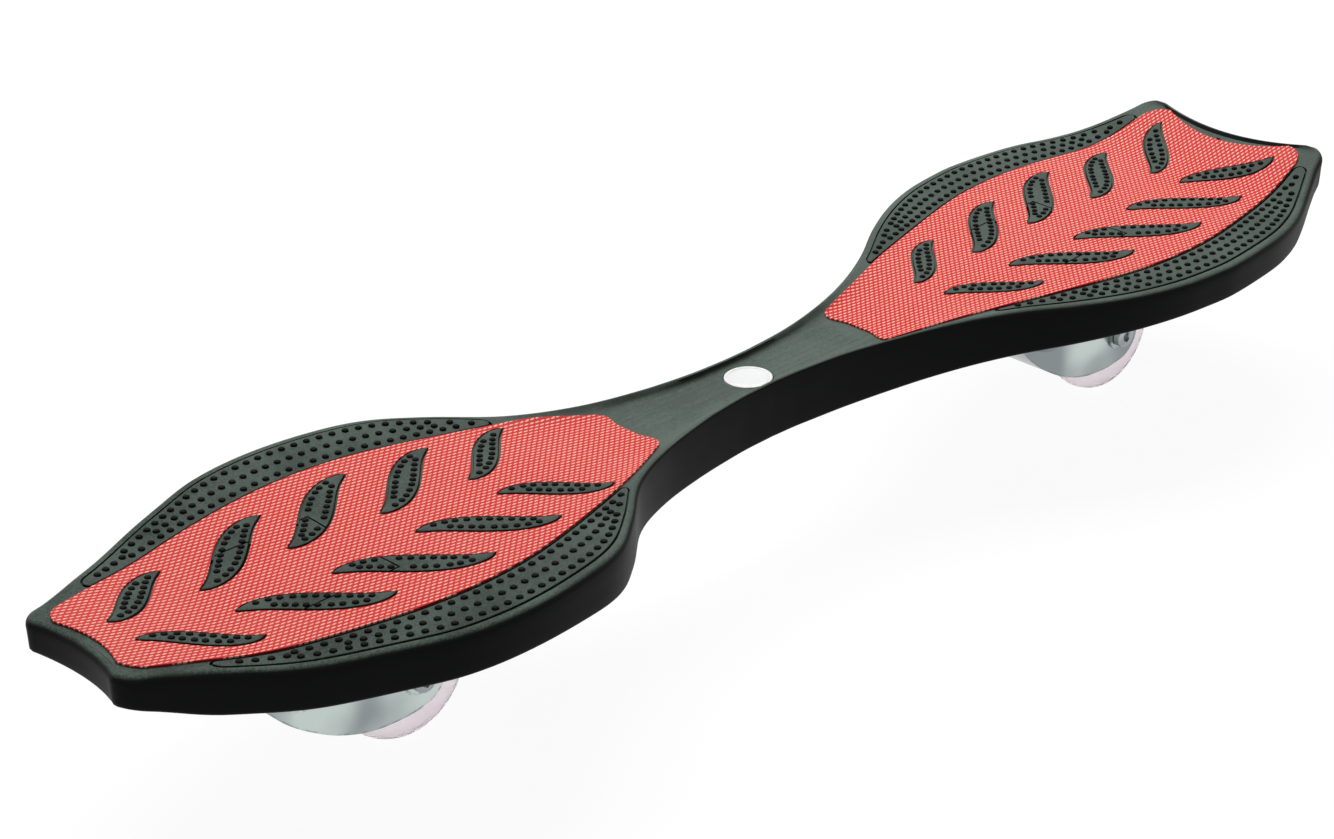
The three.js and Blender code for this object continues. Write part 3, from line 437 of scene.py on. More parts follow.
def addRibs(deck, outline):
    u, far, half = underValues, 500.0, underValues["ribThickness"] / 2
    boxes = []
    for end in ends:
        for step in (-2, -1, 0, 1, 2, 3):
            x = end["foot"] - end["sign"] * step * u["ribPitch"]
            boxes.append((x - half, x + half, -far, far))
        for row in (-1, 1):
            y, reach = row * u["ribRowGap"], 2 * u["ribPitch"]
            boxes.append((end["foot"] - reach, end["foot"] + reach, y - half, y + half))
    for step in (-1, 0, 1):
        x = step * u["neckWebPitch"]
        boxes.append((x - half, x + half, -far, far))
    boxes.append((-far, far, -half, half))
    ribs = None
    for x0, x1, y0, y1 in boxes:
        rib = boxPiece("rib", (x0, y0, 0), (x1, y1, far))
        ribs = combine(ribs, rib, "UNION") if ribs else rib

    def inside(x, y, normal):
        return deckValues["wall"] * u["ribInset"] + deckValues["draft"] + u["ribEndInset"] * normal.x ** 2

    def under(x, y):
        return bottomHeight(x) + u["ribRecess"]

    room = ringSolid("ribRoom", outline, deckValues["spine"],
                     [(inside, under), (inside, lambda x, y: topHeight(x) - u["ribRoof"])],
                     lambda x, y: surfaceHeight(x, y) - u["ribRoof"], under)
    combine(ribs, room, "INTERSECT")
    combine(deck, ribs, "UNION")


def tilted(end, name, profile, sides):  # turned round the kingpin's line
    piece = turned(name, profile, sides)
    piece.data.transform(casterPlace(end))
    return piece


def roofBox(name, top):  # everything from the ground up to a height
    return boxPiece(name, (-600, -200, 0), (600, 200, top))


def addPods(deck):
    u, bay = underValues, bayValues
    radius, flare, tall, depth = u["podRadius"], u["podRadius"] + u["podFlare"], u["podTall"], u["podDepth"]
    for end in ends:
        top = deckValues["footHeight"] - u["podRoof"]
        pod = tilted(end, "pod", [(radius - 1.2, 0), (radius - 0.35, 0.35), (radius, 1.2),
                                  (flare, tall / 2), (flare, tall)], 96)
        combine(pod, roofBox("podRoof", top), "INTERSECT")
        combine(deck, pod, "UNION")
        floor = deckValues["footHeight"] - bay["floorDepth"]
        combine(deck, bayBox("bayFloor", end, bay["ledge"] - bay["wall"], floor, top), "UNION")
        room = radius + u["podRoom"]
        combine(deck, tilted(end, "podRoom", [(room, -tall), (room, 0)], 96), "DIFFERENCE")
        bore = [(u["boreRadius"], -5), (u["boreRadius"], depth + 0.5)]
        combine(deck, tilted(end, "podBore", bore, 48), "DIFFERENCE")
        well = [(u["wellRadius"], depth), (u["wellRadius"], depth + u["wellDepth"])]
        well = tilted(end, "podWell", well, 48)
        combine(well, roofBox("wellRoof", floor + bay["wall"] + u["wellRoof"]), "INTERSECT")
        combine(deck, well, "DIFFERENCE")
        foot = coverHeight(end)
        combine(deck, bayBox("baySeat", end, 0, foot - bay["cover"] - bay["bed"], foot + 20), "DIFFERENCE")
        combine(deck, bayBox("bayPocket", end, bay["ledge"], floor + bay["wall"], foot), "DIFFERENCE")


badgeValues = {"diameter": 26.0, "recess": 1.4, "bed": 0.3, "thickness": 2.0, "dome": 0.5, "gap": 0.5}
padValues = {
    "recess": 1.5, "bed": 0.3, "proud": 0.5, "sheetGap": 1.4, "edgeMargin": 6.8, "groove": 1.15, "edge": 0.7,
    "nose": (136.0, 381.0), "tail": (145.0, 402.0), "endRounding": 5.0,
    "dotPitch": 7.0, "dotRadius": 1.85, "dotHeight": 1.25, "dotGap": 2.5, "endMargin": 4.4, "rowMargin": 4.4,
    "twoRows": 2.4, "threeRows": 4.6, "oneRow": 3.0,  # least room for that many rows of dots
}
sheetValues = {
    "thickness": 0.9, "lift": 0.3, "width": 147.0, "innerNotch": 2.5, "innerCorner": 4.0,
    "nose": {"inner": 84.0, "outer": 413.5, "corner": 9.0, "notch": 5.0,
             "shares": [(0, 0.3), (0.025, 0.365), (0.07, 0.48), (0.118, 0.585), (0.21, 0.732), (0.307, 0.872),
                        (0.4, 0.975), (0.495, 1.013), (0.592, 0.986), (0.682, 0.912), (0.775, 0.805),
                        (0.874, 0.667), (0.98, 0.49), (1, 0.45)]},
    "tail": {"inner": 82.0, "outer": 415.0, "corner": 12.0, "notch": 11.5,
             "shares": [(0, 0.33), (0.04, 0.39), (0.12, 0.505), (0.21, 0.645), (0.338, 0.815), (0.47, 0.97),
                        (0.557, 1.02), (0.645, 1.018), (0.73, 0.966), (0.817, 0.89), (0.89, 0.838),
                        (0.95, 0.8), (1, 0.765)]},
}
leafValues = {
    "reach": 130.0, "spread": 60.0, "width": 15.6, "bend": 0.395, "taper": 0.64,
    "rise": 1.6, "edge": 0.7, "groove": 1.15, "grooveDepth": 3.0, "root": 2.0,
    "dotPitch": 5.3, "dotRadius": 1.75, "dotHeight": 1.1, "dotGap": 2.3, "dotMargin": 3.2, "dotSpread": 4.3,
    "dotEnds": 0.13, "twoRows": 4.8, "oneRow": 3.0,
    "tips": [  # start and end as shares of reach and spread, share of the width
        (-1.054, 0.188, -0.688, 0.686, 0.79), (-0.653, 0.23, -0.18, 0.871, 0.96),
        (-0.248, 0.287, 0.248, 0.949, 1.0), (0.159, 0.226, 0.61, 0.84, 0.94),
        (0.57, 0.182, 0.936, 0.699, 0.8)],
}


def sheetHalfWidth(end, distance):
    values = sheetValues[end["name"]]
    share = (distance - values["inner"]) / (values["outer"] - values["inner"])
    return sheetValues["width"] / 2 * curveThrough(values["shares"])(share)


def padBand(end, place, grow=0.0):  # middle and half width of the strip between sheet and deck edge
    low = sheetHalfWidth(end, place) + padValues["sheetGap"] - grow
    high = deckHalfWidth(end["sign"] * place) - padValues["edgeMargin"] + grow
    return (low + high) / 2, max((high - low) / 2, 0.01)


def padStations(end, side, grow, steps=90):
    first, last = padValues[end["name"]]
    first, last = first - grow, last + grow
    halves = [padBand(end, place, grow)[1] for place in (first, last)]
    roundFirst, roundLast = [min(half, padValues["endRounding"]) for half in halves]
    stations = []
    for k in range(steps + 1):
        place = first + (last - first) * (1 - math.cos(math.pi * k / steps)) / 2
        middle, half = padBand(end, place, grow)
        draw = min((place - first) / roundFirst, (last - place) / roundLast, 1)
        half *= math.sqrt(max(1 - (1 - draw) ** 2, 0))
        stations.append((end["sign"] * place, side * middle, 0.0, 1.0, max(half, 0.02)))
    return stations


def leafStations(end, tips, side, steps=36):
    reach, spread = leafValues["reach"], leafValues["spread"]
    x0, y0, x1, y1 = tips[0] * reach, tips[1] * spread, tips[2] * reach, tips[3] * spread
    bend = (x1 - x0) * leafValues["bend"]
    spine = [Vector((x0, y0)), Vector((x0 + bend, y0)), Vector((x1 - bend, y1)), Vector((x1, y1))]
    stations = []
    for k in range(steps + 1):
        s = (1 - math.cos(math.pi * k / steps)) / 2
        weights = ((1 - s) ** 3, 3 * s * (1 - s) ** 2, 3 * s * s * (1 - s), s ** 3)
        point = sum((p * w for p, w in zip(spine, weights)), Vector((0, 0)))
        tangent = (spine[1] - spine[0]) * (1 - s) ** 2 + (spine[2] - spine[1]) * 2 * s * (1 - s)
        tangent = (tangent + (spine[3] - spine[2]) * s * s).normalized()
        half = max(leafValues["width"] * tips[4] / 2 * math.sin(math.pi * s) ** leafValues["taper"], 0.05)
        stations.append((end["foot"] + point.x, side * point.y, -tangent.y, side * tangent.x, half))
    return stations


def widened(stations, grow):  # the same band, wider all round
    first, last = Vector(stations[0][:2]), Vector(stations[-1][:2])
    ahead = (Vector(stations[1][:2]) - first).normalized() * grow
    behind = (last - Vector(stations[-2][:2])).normalized() * grow
    result = [(x, y, ax, ay, half + grow) for x, y, ax, ay, half in stations]
    tipA, tipB = stations[0], stations[-1]
    result.insert(0, (first.x - ahead.x, first.y - ahead.y, tipA[2], tipA[3], grow * 0.4))
    result.append((last.x + behind.x, last.y + behind.y, tipB[2], tipB[3], grow * 0.4))
    return result


def bandSolid(name, stations, low, high, edge=0.0, dome=0.0):  # stations: x, y, way across, half width
    points = []
    for x, y, ax, ay, half in stations:
        r = min(edge, half * 0.8)
        section = [(-half, low), (-half, high - r)]
        if edge:
            corner = ((0.13, 0.5), (0.5, 0.13), (1, 0))
            section += [(-half + share * r, high - drop * r) for share, drop in corner]
        section += [(-half * 0.45, high + dome * 0.75), (0, high + dome)]
        section += [(-a, b) for a, b in reversed(section[:-1])]
        for across, rise in section:
            px, py = x + ax * across, y + ay * across
            points.append((px, py, surfaceHeight(px, py) + rise))
    return meshPiece(name, points, closedFaces(len(stations), len(points) // len(stations)))


def makeDeck():
    outline = notched(deckOutline())
    deck = ringSolid("deckBody", outline, deckValues["spine"], deckEdge(), surfaceHeight,
                     lambda x, y: surfaceHeight(x, y) - deckValues["topPlate"])
    print("deck shell", len(deck.data.polygons))
    addRibs(deck, outline)
    addPods(deck)
    print("deck ribs and pods", len(deck.data.polygons))
    for end in ends:
        for side in (-1, 1):
            stations = padStations(end, side, padValues["groove"])
            combine(deck, bandSolid("padSeat", stations, -padValues["recess"], 6.0), "DIFFERENCE")
    seatFloor = surfaceHeight(0, 0) - badgeValues["recess"]
    radius = badgeValues["diameter"] / 2 + badgeValues["gap"]
    combine(deck, turned("badgeSeat", [(radius, seatFloor), (radius, seatFloor + 10)], 96), "DIFFERENCE")
    shadeSmooth(deck, 28)
    print("deck recesses", len(deck.data.polygons))
    return deck


# grip sheets, bay covers and leaf islands

def sheetOutline(end, steps=90):
    values = sheetValues[end["name"]]
    inner, outer, corner = values["inner"], values["outer"], values["corner"]
    turn = sheetValues["innerCorner"]
    places = [inner + turn * (1 - math.cos(math.pi / 2 * k / 8)) for k in range(8)]
    places += [inner + turn + (outer - inner - turn - corner) * k / steps for k in range(steps + 1)]
    places += [outer - corner * (1 - math.sin(math.pi / 2 * k / 8)) for k in range(1, 9)]
    side = []
    for place in places:
        half = sheetHalfWidth(end, place) - cornerDraw(outer - place, corner)
        side.append((place, half - cornerDraw(place - inner, turn)))
    reach, start = side[-1][1], side[0][1]
    points = list(side)
    for x, y in endEdge(outer, reach):
        points.append((x - values["notch"] * (1 - (y / reach) ** 2), y))
    points += [(x, -y) for x, y in reversed(side)]
    for x, y in reversed(endEdge(inner, start, 14)):
        points.append((x + sheetValues["innerNotch"] * smooth(1.6 * (1 - abs(y) / start)), y))
    return [(end["sign"] * x, y) for x, y in points]


def makeSheet(end):
    lift, thick = sheetValues["lift"], sheetValues["thickness"]
    values = sheetValues[end["name"]]
    reach = sorted(end["sign"] * place for place in (values["inner"] + 12, values["outer"] - 45))
    edge = []
    for inset, rise in ((0, 0), (0, 0.55), (0.12, 0.78), (0.35, 0.9)):
        edge.append((lambda x, y, n, inset=inset: inset,
                     lambda x, y, rise=rise: surfaceHeight(x, y) + lift + rise * thick / 0.9))
    sheet = ringSolid(end["name"] + "Sheet", sheetOutline(end), reach, edge,
                      lambda x, y: surfaceHeight(x, y) + lift + thick,
                      lambda x, y: surfaceHeight(x, y) + lift)
    for tips in leafValues["tips"]:
        for side in (-1, 1):
            stations = widened(leafStations(end, tips, side), leafValues["groove"])
            combine(sheet, bandSolid("leafHole", stations, -leafValues["grooveDepth"], 6.0), "DIFFERENCE")
    shadeSmooth(sheet, 30)
    return sheet


def domesMesh(name, centres, radius, height, sides=14):
    profile = [(1.0, -0.35), (1.0, 0.3), (0.9, 0.66), (0.66, 0.9), (0.33, 0.99)]
    points, faces = [], []
    for cx, cy, cz in centres:
        start = len(points)
        for r, h in profile:
            for k in range(sides):
                a = 2 * math.pi * k / sides
                points.append((cx + r * radius * math.cos(a), cy + r * radius * math.sin(a), cz + h * height))
        faces += [tuple(start + i for i in face) for face in closedFaces(len(profile), sides)]
    piece = meshPiece(name, points, faces, 50)
    piece.data.polygons.foreach_set("material_index", [1] * len(piece.data.polygons))
    return piece


def onSeam(end, x, y):  # too near the edge of the bay cover for a dot
    along = abs(x - end["foot"] + bayValues["back"]) - bayValues["length"] / 2
    outside = max(along, abs(y) - bayValues["width"] / 2)
    return -leafValues["dotRadius"] <= outside < leafValues["dotRadius"]


def spaced(centres, x, y, reach):  # far enough from every dot that stands already
    return all(math.dist((x, y), centre[:2]) > reach for centre in centres)


def leafDots(end, tips, side):
    stations = leafStations(end, tips, side, 120)
    length, travelled = 0.0, [0.0]
    for a, b in zip(stations, stations[1:]):
        length += math.dist(a[:2], b[:2])
        travelled.append(length)
    pitch = leafValues["dotPitch"]
    centres = []
    for column in (-1, 1):
        place = length * leafValues["dotEnds"] + (pitch / 2 if column > 0 else 0)
        while place < length * (1 - leafValues["dotEnds"]):
            i = min(range(len(stations)), key=lambda k: abs(travelled[k] - place))
            x, y, ax, ay, half = stations[i]
            across = column * clamp(half - leafValues["dotMargin"], 0.0, leafValues["dotSpread"])
            px, py = x + ax * across, y + ay * across
            clear = spaced(centres, px, py, leafValues["dotGap"] * leafValues["dotRadius"])
            room = leafValues["twoRows" if column > 0 else "oneRow"]
            if half > room and clear and not onSeam(end, px, py):
                centres.append((px, py, surfaceHeight(px, py) + leafValues["rise"]))
            place += pitch
    return centres


def makeLeaves(end):
    leaves, centres = [], []
    for tips in leafValues["tips"]:
        for side in (-1, 1):
            leaves.append(bandSolid("leaf", leafStations(end, tips, side), -leafValues["root"],
                                    leafValues["rise"], leafValues["edge"], 0.2))
            centres += leafDots(end, tips, side)
    islands = joinInto(leaves[0], leaves[1:])
    islands.name = end["name"] + "Leaves"
    foot, seam = coverHeight(end), bayValues["seam"]
    slit = bayBox("seam", end, -seam / 2, foot - bayValues["seamDepth"], foot + 12)
    combine(slit, bayBox("seamCore", end, seam / 2, foot - 5, foot + 15), "DIFFERENCE")
    combine(islands, slit, "DIFFERENCE")
    shadeSmooth(islands, 40)
    return joinInto(islands, [domesMesh("dots", centres, leafValues["dotRadius"], leafValues["dotHeight"])])


def makeBayCover(end):
    foot, gap, skirt = coverHeight(end), bayValues["gap"], bayValues["ledge"] + bayValues["gap"]
    high = foot - bayValues["cover"]
    low = high - bayValues["skirtDepth"]
    cover = bayBox(end["name"] + "BayCover", end, gap, high, foot)
    rim = bayBox("skirt", end, skirt, low, high)
    combine(rim, bayBox("skirtRoom", end, skirt + bayValues["skirt"], low - 5, high + 5), "DIFFERENCE")
    combine(cover, rim, "UNION")
    softenEdges(cover, 0.4)
    return cover


# tread pads

def padDots(end, side):
    first, last = padValues[end["name"]]
    first, last = first + padValues["endMargin"], last - padValues["endMargin"]
    pitch, steps = padValues["dotPitch"], 800
    centres = []
    for row in (-1, 0, 1):
        travelled = pitch if row else pitch / 2
        before = None
        for k in range(steps + 1):
            place = first + (last - first) * k / steps
            middle, half = padBand(end, place)
            spread = max(half - padValues["rowMargin"], 0.0)
            point = (end["sign"] * place, side * (middle + row * spread))
            travelled += math.dist(point, before) if before else 0
            before = point
            two = spread > padValues["twoRows"]
            lone = not two and half > padValues["oneRow"]
            fits = two if row else spread > padValues["threeRows"] or lone
            clear = spaced(centres, *point, padValues["dotGap"] * padValues["dotRadius"])
            if travelled >= pitch and fits and clear:
                travelled = 0.0
                centres.append((point[0], point[1], surfaceHeight(*point) + padValues["proud"]))
    return centres


def makePad(end, side):
    name = end["name"] + ("PadRight" if side > 0 else "PadLeft")
    pad = bandSolid(name, padStations(end, side, 0), padValues["bed"] - padValues["recess"],
                    padValues["proud"], padValues["edge"], 0.1)
    dots = domesMesh("dots", padDots(end, side), padValues["dotRadius"], padValues["dotHeight"])
    return joinInto(pad, [dots])


def makeBadge():
    base = surfaceHeight(0, 0) - badgeValues["recess"] + badgeValues["bed"]
    radius, edge = badgeValues["diameter"] / 2, badgeValues["thickness"] - badgeValues["dome"]
    profile = [(radius - 0.3, 0), (radius, 0.3), (radius, edge - 0.1), (radius - 0.12, edge + 0.2),
               (radius - 0.5, edge + 0.32), (radius - 1.1, edge + 0.3), (radius - 1.35, edge + 0.12),
               (radius - 1.6, edge + 0.28), (radius - 4, edge + 0.4), (radius * 0.35, edge + 0.48),
               (0.2, edge + 0.5)]
    return turned("badge", [(r, base + h) for r, h in profile], 96)


# casters, built in the frame of their kingpin

forkValues = {
    "headTop": -7.0, "headThickness": 4.0, "headRadius": 29.0, "pinHole": 7.0, "axleHole": 4.3, "edge": 1.3,
    "cupDepth": 20.0, "cupRadius": 19.0, "cupShoulder": 25.5, "cupDrop": 8.0,
    "sheet": 3.0, "innerWidth": 27.0, "axleOffset": 39.0, "axleDrop": 70.0,
    "bossRadius": 18.0, "padRadius": 9.0, "padHeight": 1.5, "archRadius": 42.0,
    "collarRadius": 14.1, "collarBore": 11.3, "collarBase": -18.3,
    "neck": (-24.5, -27.0), "front": [(-14.0, -48.3), (-5.9, -59.7), (2.6, -69.1), (11.3, -75.9)],
    "toe": (22.0, -82.5), "bossArc": (248, 400), "rear": [(42.1, -29.4), (34.3, -18.9)], "heel": 26.1,
    "slot": [(-11.0, -48.3), (-2.9, -59.7), (-2.9, -78)],
}
raceValues = {
    "bore": 4.3, "outer": 27.0, "low": -4.0, "high": -0.3, "track": (18.0, -5.5), "trackRadius": 3.4,
}
sealProfile = [(24.6, -6.7), (26.6, -6.7), (27.0, -6.2), (26.7, -5.5), (27.0, -4.8), (26.6, -4.3),
               (24.6, -4.3), (24.6, -6.7)]
boltValues = {  # profiles of radius and height, hexagons of corner radius, start and end
    "kingpin": [(3.9, -18.8), (4.0, -18.4), (4.0, 28.4), (3.4, 29.0)], "kingpinHead": (7.0, -24.1, -18.6),
    "axle": [(4.9, -23.3), (5.9, -23.0), (6.5, -22.3), (6.6, -21.4), (6.6, -18.6), (6.3, -18.3),
             (4.0, -18.3), (4.0, 26.0), (3.3, 26.8)],
    "axleSocket": (3.2, -30.0, -20.6),
    "nut": (7.3, 18.3, 24.2), "nutInsert": [(5.8, 23.5), (5.8, 24.9), (5.2, 25.3)], "nutBore": 4.3,
    "washer": (4.3, 6.4, 12.1, 13.2),
}
wheelValues = {
    "radius": 38.0, "width": 24.0, "shoulder": 8.0, "crownPower": 0.92, "coreRadius": 24.0, "coreWidth": 20.0,
    "rim": 3.4, "hubWall": 3.0, "web": 5.0, "holes": 6, "holeDiameter": 7.0, "coreBore": 6.1, "play": 0.3,
}
bearingValues = {
    "outer": 11.0, "bore": 4.3, "width": 7.0, "race": 2.2, "shield": 0.6, "edge": 0.35, "spacer": 9.0,
    "swivel": (-11.3, -18.3),
}


def rounded(points, times=3):  # cuts the corners of an open line of points
    for _ in range(times):
        cut = [points[0]]
        for a, b in zip(points, points[1:]):
            cut.append((a[0] * 0.75 + b[0] * 0.25, a[1] * 0.75 + b[1] * 0.25))
            cut.append((a[0] * 0.25 + b[0] * 0.75, a[1] * 0.25 + b[1] * 0.75))
        points = cut + [points[-1]]
    return points


def toAxle(piece):
    piece.data.transform(Matrix.Translation((forkValues["axleOffset"] * mm, 0, -forkValues["axleDrop"] * mm)))
    return piece


def onAxle(name, profile, sides=64):
    return toAxle(turned(name, profile, sides, axis="Y"))


def ringProfile(inner, outer, low, high, edge=0.3):
    return [(inner, low), (outer - edge, low), (outer, low + edge), (outer, high - edge),
            (outer - edge, high), (inner, high), (inner, low)]


def trackArc(first, last, steps):  # the groove that the balls run in
    (middle, height), radius = raceValues["track"], raceValues["trackRadius"]
    arc = [math.radians(first + (last - first) * k / steps) for k in range(steps + 1)]
    return [(middle + radius * math.cos(a), height + radius * math.sin(a)) for a in arc]


def cheekOutline():
    f = forkValues
    front = rounded([(-f["headRadius"], f["headTop"]), f["neck"]] + f["front"] + [f["toe"]])
    first, last = f["bossArc"]
    boss = []
    for k in range(21):
        a = math.radians(first + (last - first) * k / 20)
        x, z = f["bossRadius"] * math.cos(a), f["bossRadius"] * math.sin(a)
        boss.append((f["axleOffset"] + x, -f["axleDrop"] + z))
    rear = rounded([boss[-1]] + f["rear"] + [(f["heel"], f["headTop"])])
    return front + boss + rear[1:]


def makeFork(end):
    f = forkValues
    top, radius, wall = f["headTop"], f["headRadius"], f["sheet"]
    base = top - f["headThickness"]
    cupBase = base - f["cupDepth"]
    half = f["innerWidth"] / 2
    outerHalf = half + wall
    fork = prism(end["name"] + "Fork", cheekOutline(), -outerHalf, outerHalf, "Y")
    cup = [(radius, top), (radius, base), (f["cupShoulder"], base - f["cupDrop"]), (f["cupRadius"], cupBase)]
    combine(fork, turned("cup", cup, 96), "UNION")
    hollow = [(radius - wall, base), (f["cupShoulder"] - wall, base - f["cupDrop"]),
              (f["cupRadius"] - wall, cupBase - 0.4)]
    combine(fork, turned("cupHollow", hollow, 96), "DIFFERENCE")
    slot = rounded([(f["neck"][0], base)] + f["slot"], 2)
    slot += [(f["slot"][-1][0], -108), (115, -108), (115, base)]
    combine(fork, prism("slot", slot, -half, half, "Y"), "DIFFERENCE")
    combine(fork, onAxle("arch", [(f["archRadius"], -half), (f["archRadius"], half)], 128), "DIFFERENCE")
    for side in (-1, 1):
        low, high = sorted((side * (outerHalf - 1), side * (outerHalf + f["padHeight"])))
        combine(fork, onAxle("pad", [(f["padRadius"], low), (f["padRadius"], high)]), "UNION")
    collar = ringProfile(f["collarBore"], f["collarRadius"], f["collarBase"], base + 0.5)
    combine(fork, turned("collar", collar), "UNION")
    combine(fork, onAxle("axleHole", [(f["axleHole"], -40), (f["axleHole"], 40)], 48), "DIFFERENCE")
    combine(fork, turned("pinHole", [(f["pinHole"], base - 5), (f["pinHole"], top + 5)], 48), "DIFFERENCE")
    groove = trackArc(0, 360, 16)
    combine(fork, turned("groove", groove[:-1] + groove[:1], 96), "DIFFERENCE")
    tidyFlats(fork)
    shadeSmooth(fork, 30)
    softenEdges(fork, f["edge"], 3, 50)
    return fork


def tidyFlats(piece, angle=0.6):
    work = bmesh.new()
    work.from_mesh(piece.data)
    bmesh.ops.remove_doubles(work, verts=work.verts, dist=0.02 * mm)
    bmesh.ops.dissolve_limit(work, angle_limit=math.radians(angle), verts=work.verts, edges=work.edges)
    work.to_mesh(piece.data)
    work.free()


def makeRace(end):
    r = raceValues
    profile = ringProfile(r["bore"], r["outer"], r["low"], r["high"], 0.5)
    return turned(end["name"] + "Race", profile[:1] + trackArc(145, 35, 10) + profile[1:], 96)


def bearingProfile(start, face):
    b, inward = bearingValues, math.copysign(1, start - face)
    bore, rim, edge = b["bore"], b["outer"], b["edge"]
    inner, outer = bore + b["race"], rim - b["race"]
    shield, corner = face + inward * b["shield"], face + inward * edge
    return [(bore, start), (rim, start), (rim, corner), (rim - edge, face), (outer, face),
            (outer - 0.2, shield), (inner + 0.2, shield), (inner, face), (bore + edge, face),
            (bore, corner), (bore, start)]


def hexPiece(name, radius, low, high, axis="Z"):
    corners = [(radius * math.cos(k * math.pi / 3), radius * math.sin(k * math.pi / 3)) for k in range(6)]
    piece = prism(name, corners, low, high, axis)
    flat, outside = radius * math.cos(math.pi / 6) * 0.98, radius * 1.01
    cone = [(flat, low), (outside, low + 0.8), (outside, high - 0.8), (flat, high)]
    return combine(piece, turned("chamfer", cone, 64, axis), "INTERSECT")


def makeKingpin(end):
    kingpin = turned(end["name"] + "Kingpin", boltValues["kingpin"], 48)
    combine(kingpin, hexPiece("head", *boltValues["kingpinHead"]), "UNION")
    softenEdges(kingpin, 0.25)
    return kingpin


def makeAxleBolt(end):
    bolt = turned(end["name"] + "AxleBolt", boltValues["axle"], 64, "Y")
    combine(bolt, hexPiece("socket", *boltValues["axleSocket"], "Y"), "DIFFERENCE")
    return toAxle(bolt)


def makeAxleNut(end):
    bore = boltValues["nutBore"]
    nut = hexPiece(end["name"] + "AxleNut", *boltValues["nut"], "Y")
    combine(nut, turned("insert", boltValues["nutInsert"], 64, "Y"), "UNION")
    combine(nut, turned("thread", [(bore, 10), (bore, 30)], 48, "Y"), "DIFFERENCE")
    return toAxle(nut)


def makeCore(end):
    w, b = wheelValues, bearingValues
    half, rim, seat, shoulder = w["coreWidth"] / 2, w["coreRadius"], b["outer"] + w["play"], w["coreBore"]
    hub, web, stop = seat + w["hubWall"], w["web"] / 2, b["spacer"] / 2
    face, under = stop + w["play"] + b["width"], rim - w["rim"]
    side = [(seat, face), (seat, stop), (shoulder, stop)]
    outer = [(hub - 0.4, -face), (hub, -face + 0.4), (hub, -web - 1), (hub + 1, -web), (under - 1, -web),
             (under, -web - 1), (rim - 1.2, -half + 0.3), (rim - 0.9, -half), (rim, -half)]
    profile = [(shoulder, -stop), (seat, -stop), (seat, -face)] + outer
    profile += [(r, -h) for r, h in reversed(outer)] + side
    core = turned(end["name"] + "Core", profile + [profile[0]], 96, "Y")
    middle, hole = (hub + under) / 2, w["holeDiameter"] / 2
    for k in range(w["holes"]):
        a = 2 * math.pi * k / w["holes"]
        drill = turned("hole", [(hole, -6), (hole, 6)], 32, "Y")
        drill.data.transform(Matrix.Translation((middle * math.cos(a) * mm, 0, middle * math.sin(a) * mm)))
        combine(core, drill, "DIFFERENCE")
    softenEdges(core, 0.3)
    return toAxle(core)


def makeTyre(end):
    w = wheelValues
    inner, shoulder = w["coreRadius"] + w["play"], w["radius"] - w["shoulder"]
    half, wall = w["width"] / 2, w["coreWidth"] / 2
    crown = []
    for k in range(33):
        a = math.pi * (k / 32 - 0.5)
        crown.append((shoulder + w["shoulder"] * abs(math.cos(a)) ** w["crownPower"], half * math.sin(a)))
    profile = [(inner, -wall), (inner + 0.6, -wall - 0.3)] + crown
    profile += [(inner + 0.6, wall + 0.3), (inner, wall), (inner, -wall)]
    return onAxle(end["name"] + "Tyre", profile, 144)


keptNodes = {  # solids of the model that keep their own shape
    "kingpin_nut": "zinc", "pivot_sleeve": "zinc", "bearing_spacer": "zinc", "ball_cage": "bearing",
}


def casterPieces(end):
    b, name = bearingValues, end["name"]
    start = b["spacer"] / 2 + wheelValues["play"]
    face = start + b["width"]
    bore, outer, near, far = boltValues["washer"]
    leftWasher = ringProfile(bore, outer, -far, -near, 0.2)
    rightWasher = ringProfile(bore, outer, near, far, 0.2)
    swivel = bearingProfile(*b["swivel"])
    pieces = [
        (makeRace(end), "deck", "upper_race", "zinc"),
        (makeKingpin(end), "deck", "kingpin", "zinc"),
        (makeFork(end), "fork", "fork", "chrome"),
        (turned(name + "Seal", sealProfile, 96), "fork", "dust_seal", "seal"),
        (turned(name + "SwivelBearing", swivel), "fork", "swivel_bearing", "bearing"),
        (makeAxleBolt(end), "fork", "axle_bolt", "zinc"),
        (makeAxleNut(end), "fork", "axle_nut", "zinc"),
        (makeCore(end), "wheel", "wheel_core", "core"),
        (makeTyre(end), "wheel", "tyre", "tyre"),
        (onAxle(name + "BearingLeft", bearingProfile(-start, -face)), "wheel", "bearing_left", "bearing"),
        (onAxle(name + "BearingRight", bearingProfile(start, face)), "wheel", "bearing_right", "bearing"),
        (onAxle(name + "WasherLeft", leftWasher), "fork", "axle_washer_left", "zinc"),
        (onAxle(name + "WasherRight", rightWasher), "fork", "axle_washer_right", "zinc"),
    ]
    for piece, body, node, finish in pieces:
        piece.data.transform(casterPlace(end))
        dress(piece, "deck" if body == "deck" else name + "_" + body, finish, name + "_" + node)
    for node, finish in keptNodes.items():
        kept = frame["nodes"][name + "_" + node]
        kept.data.materials.clear()
        paint(kept, finish)


def paint(piece, finish):
    for made in finishes[finish]:
        piece.data.materials.append(made)


def dress(piece, body, finish, node):
    paint(piece, finish)
    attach(piece, body)
    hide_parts(node)


# materials

def linear(colour):  # a screen colour of 0 to 255 as light
    shares = [c / 255 for c in colour]
    return tuple(c / 12.92 if c <= 0.04045 else ((c + 0.055) / 1.055) ** 2.4 for c in shares) + (1.0,)


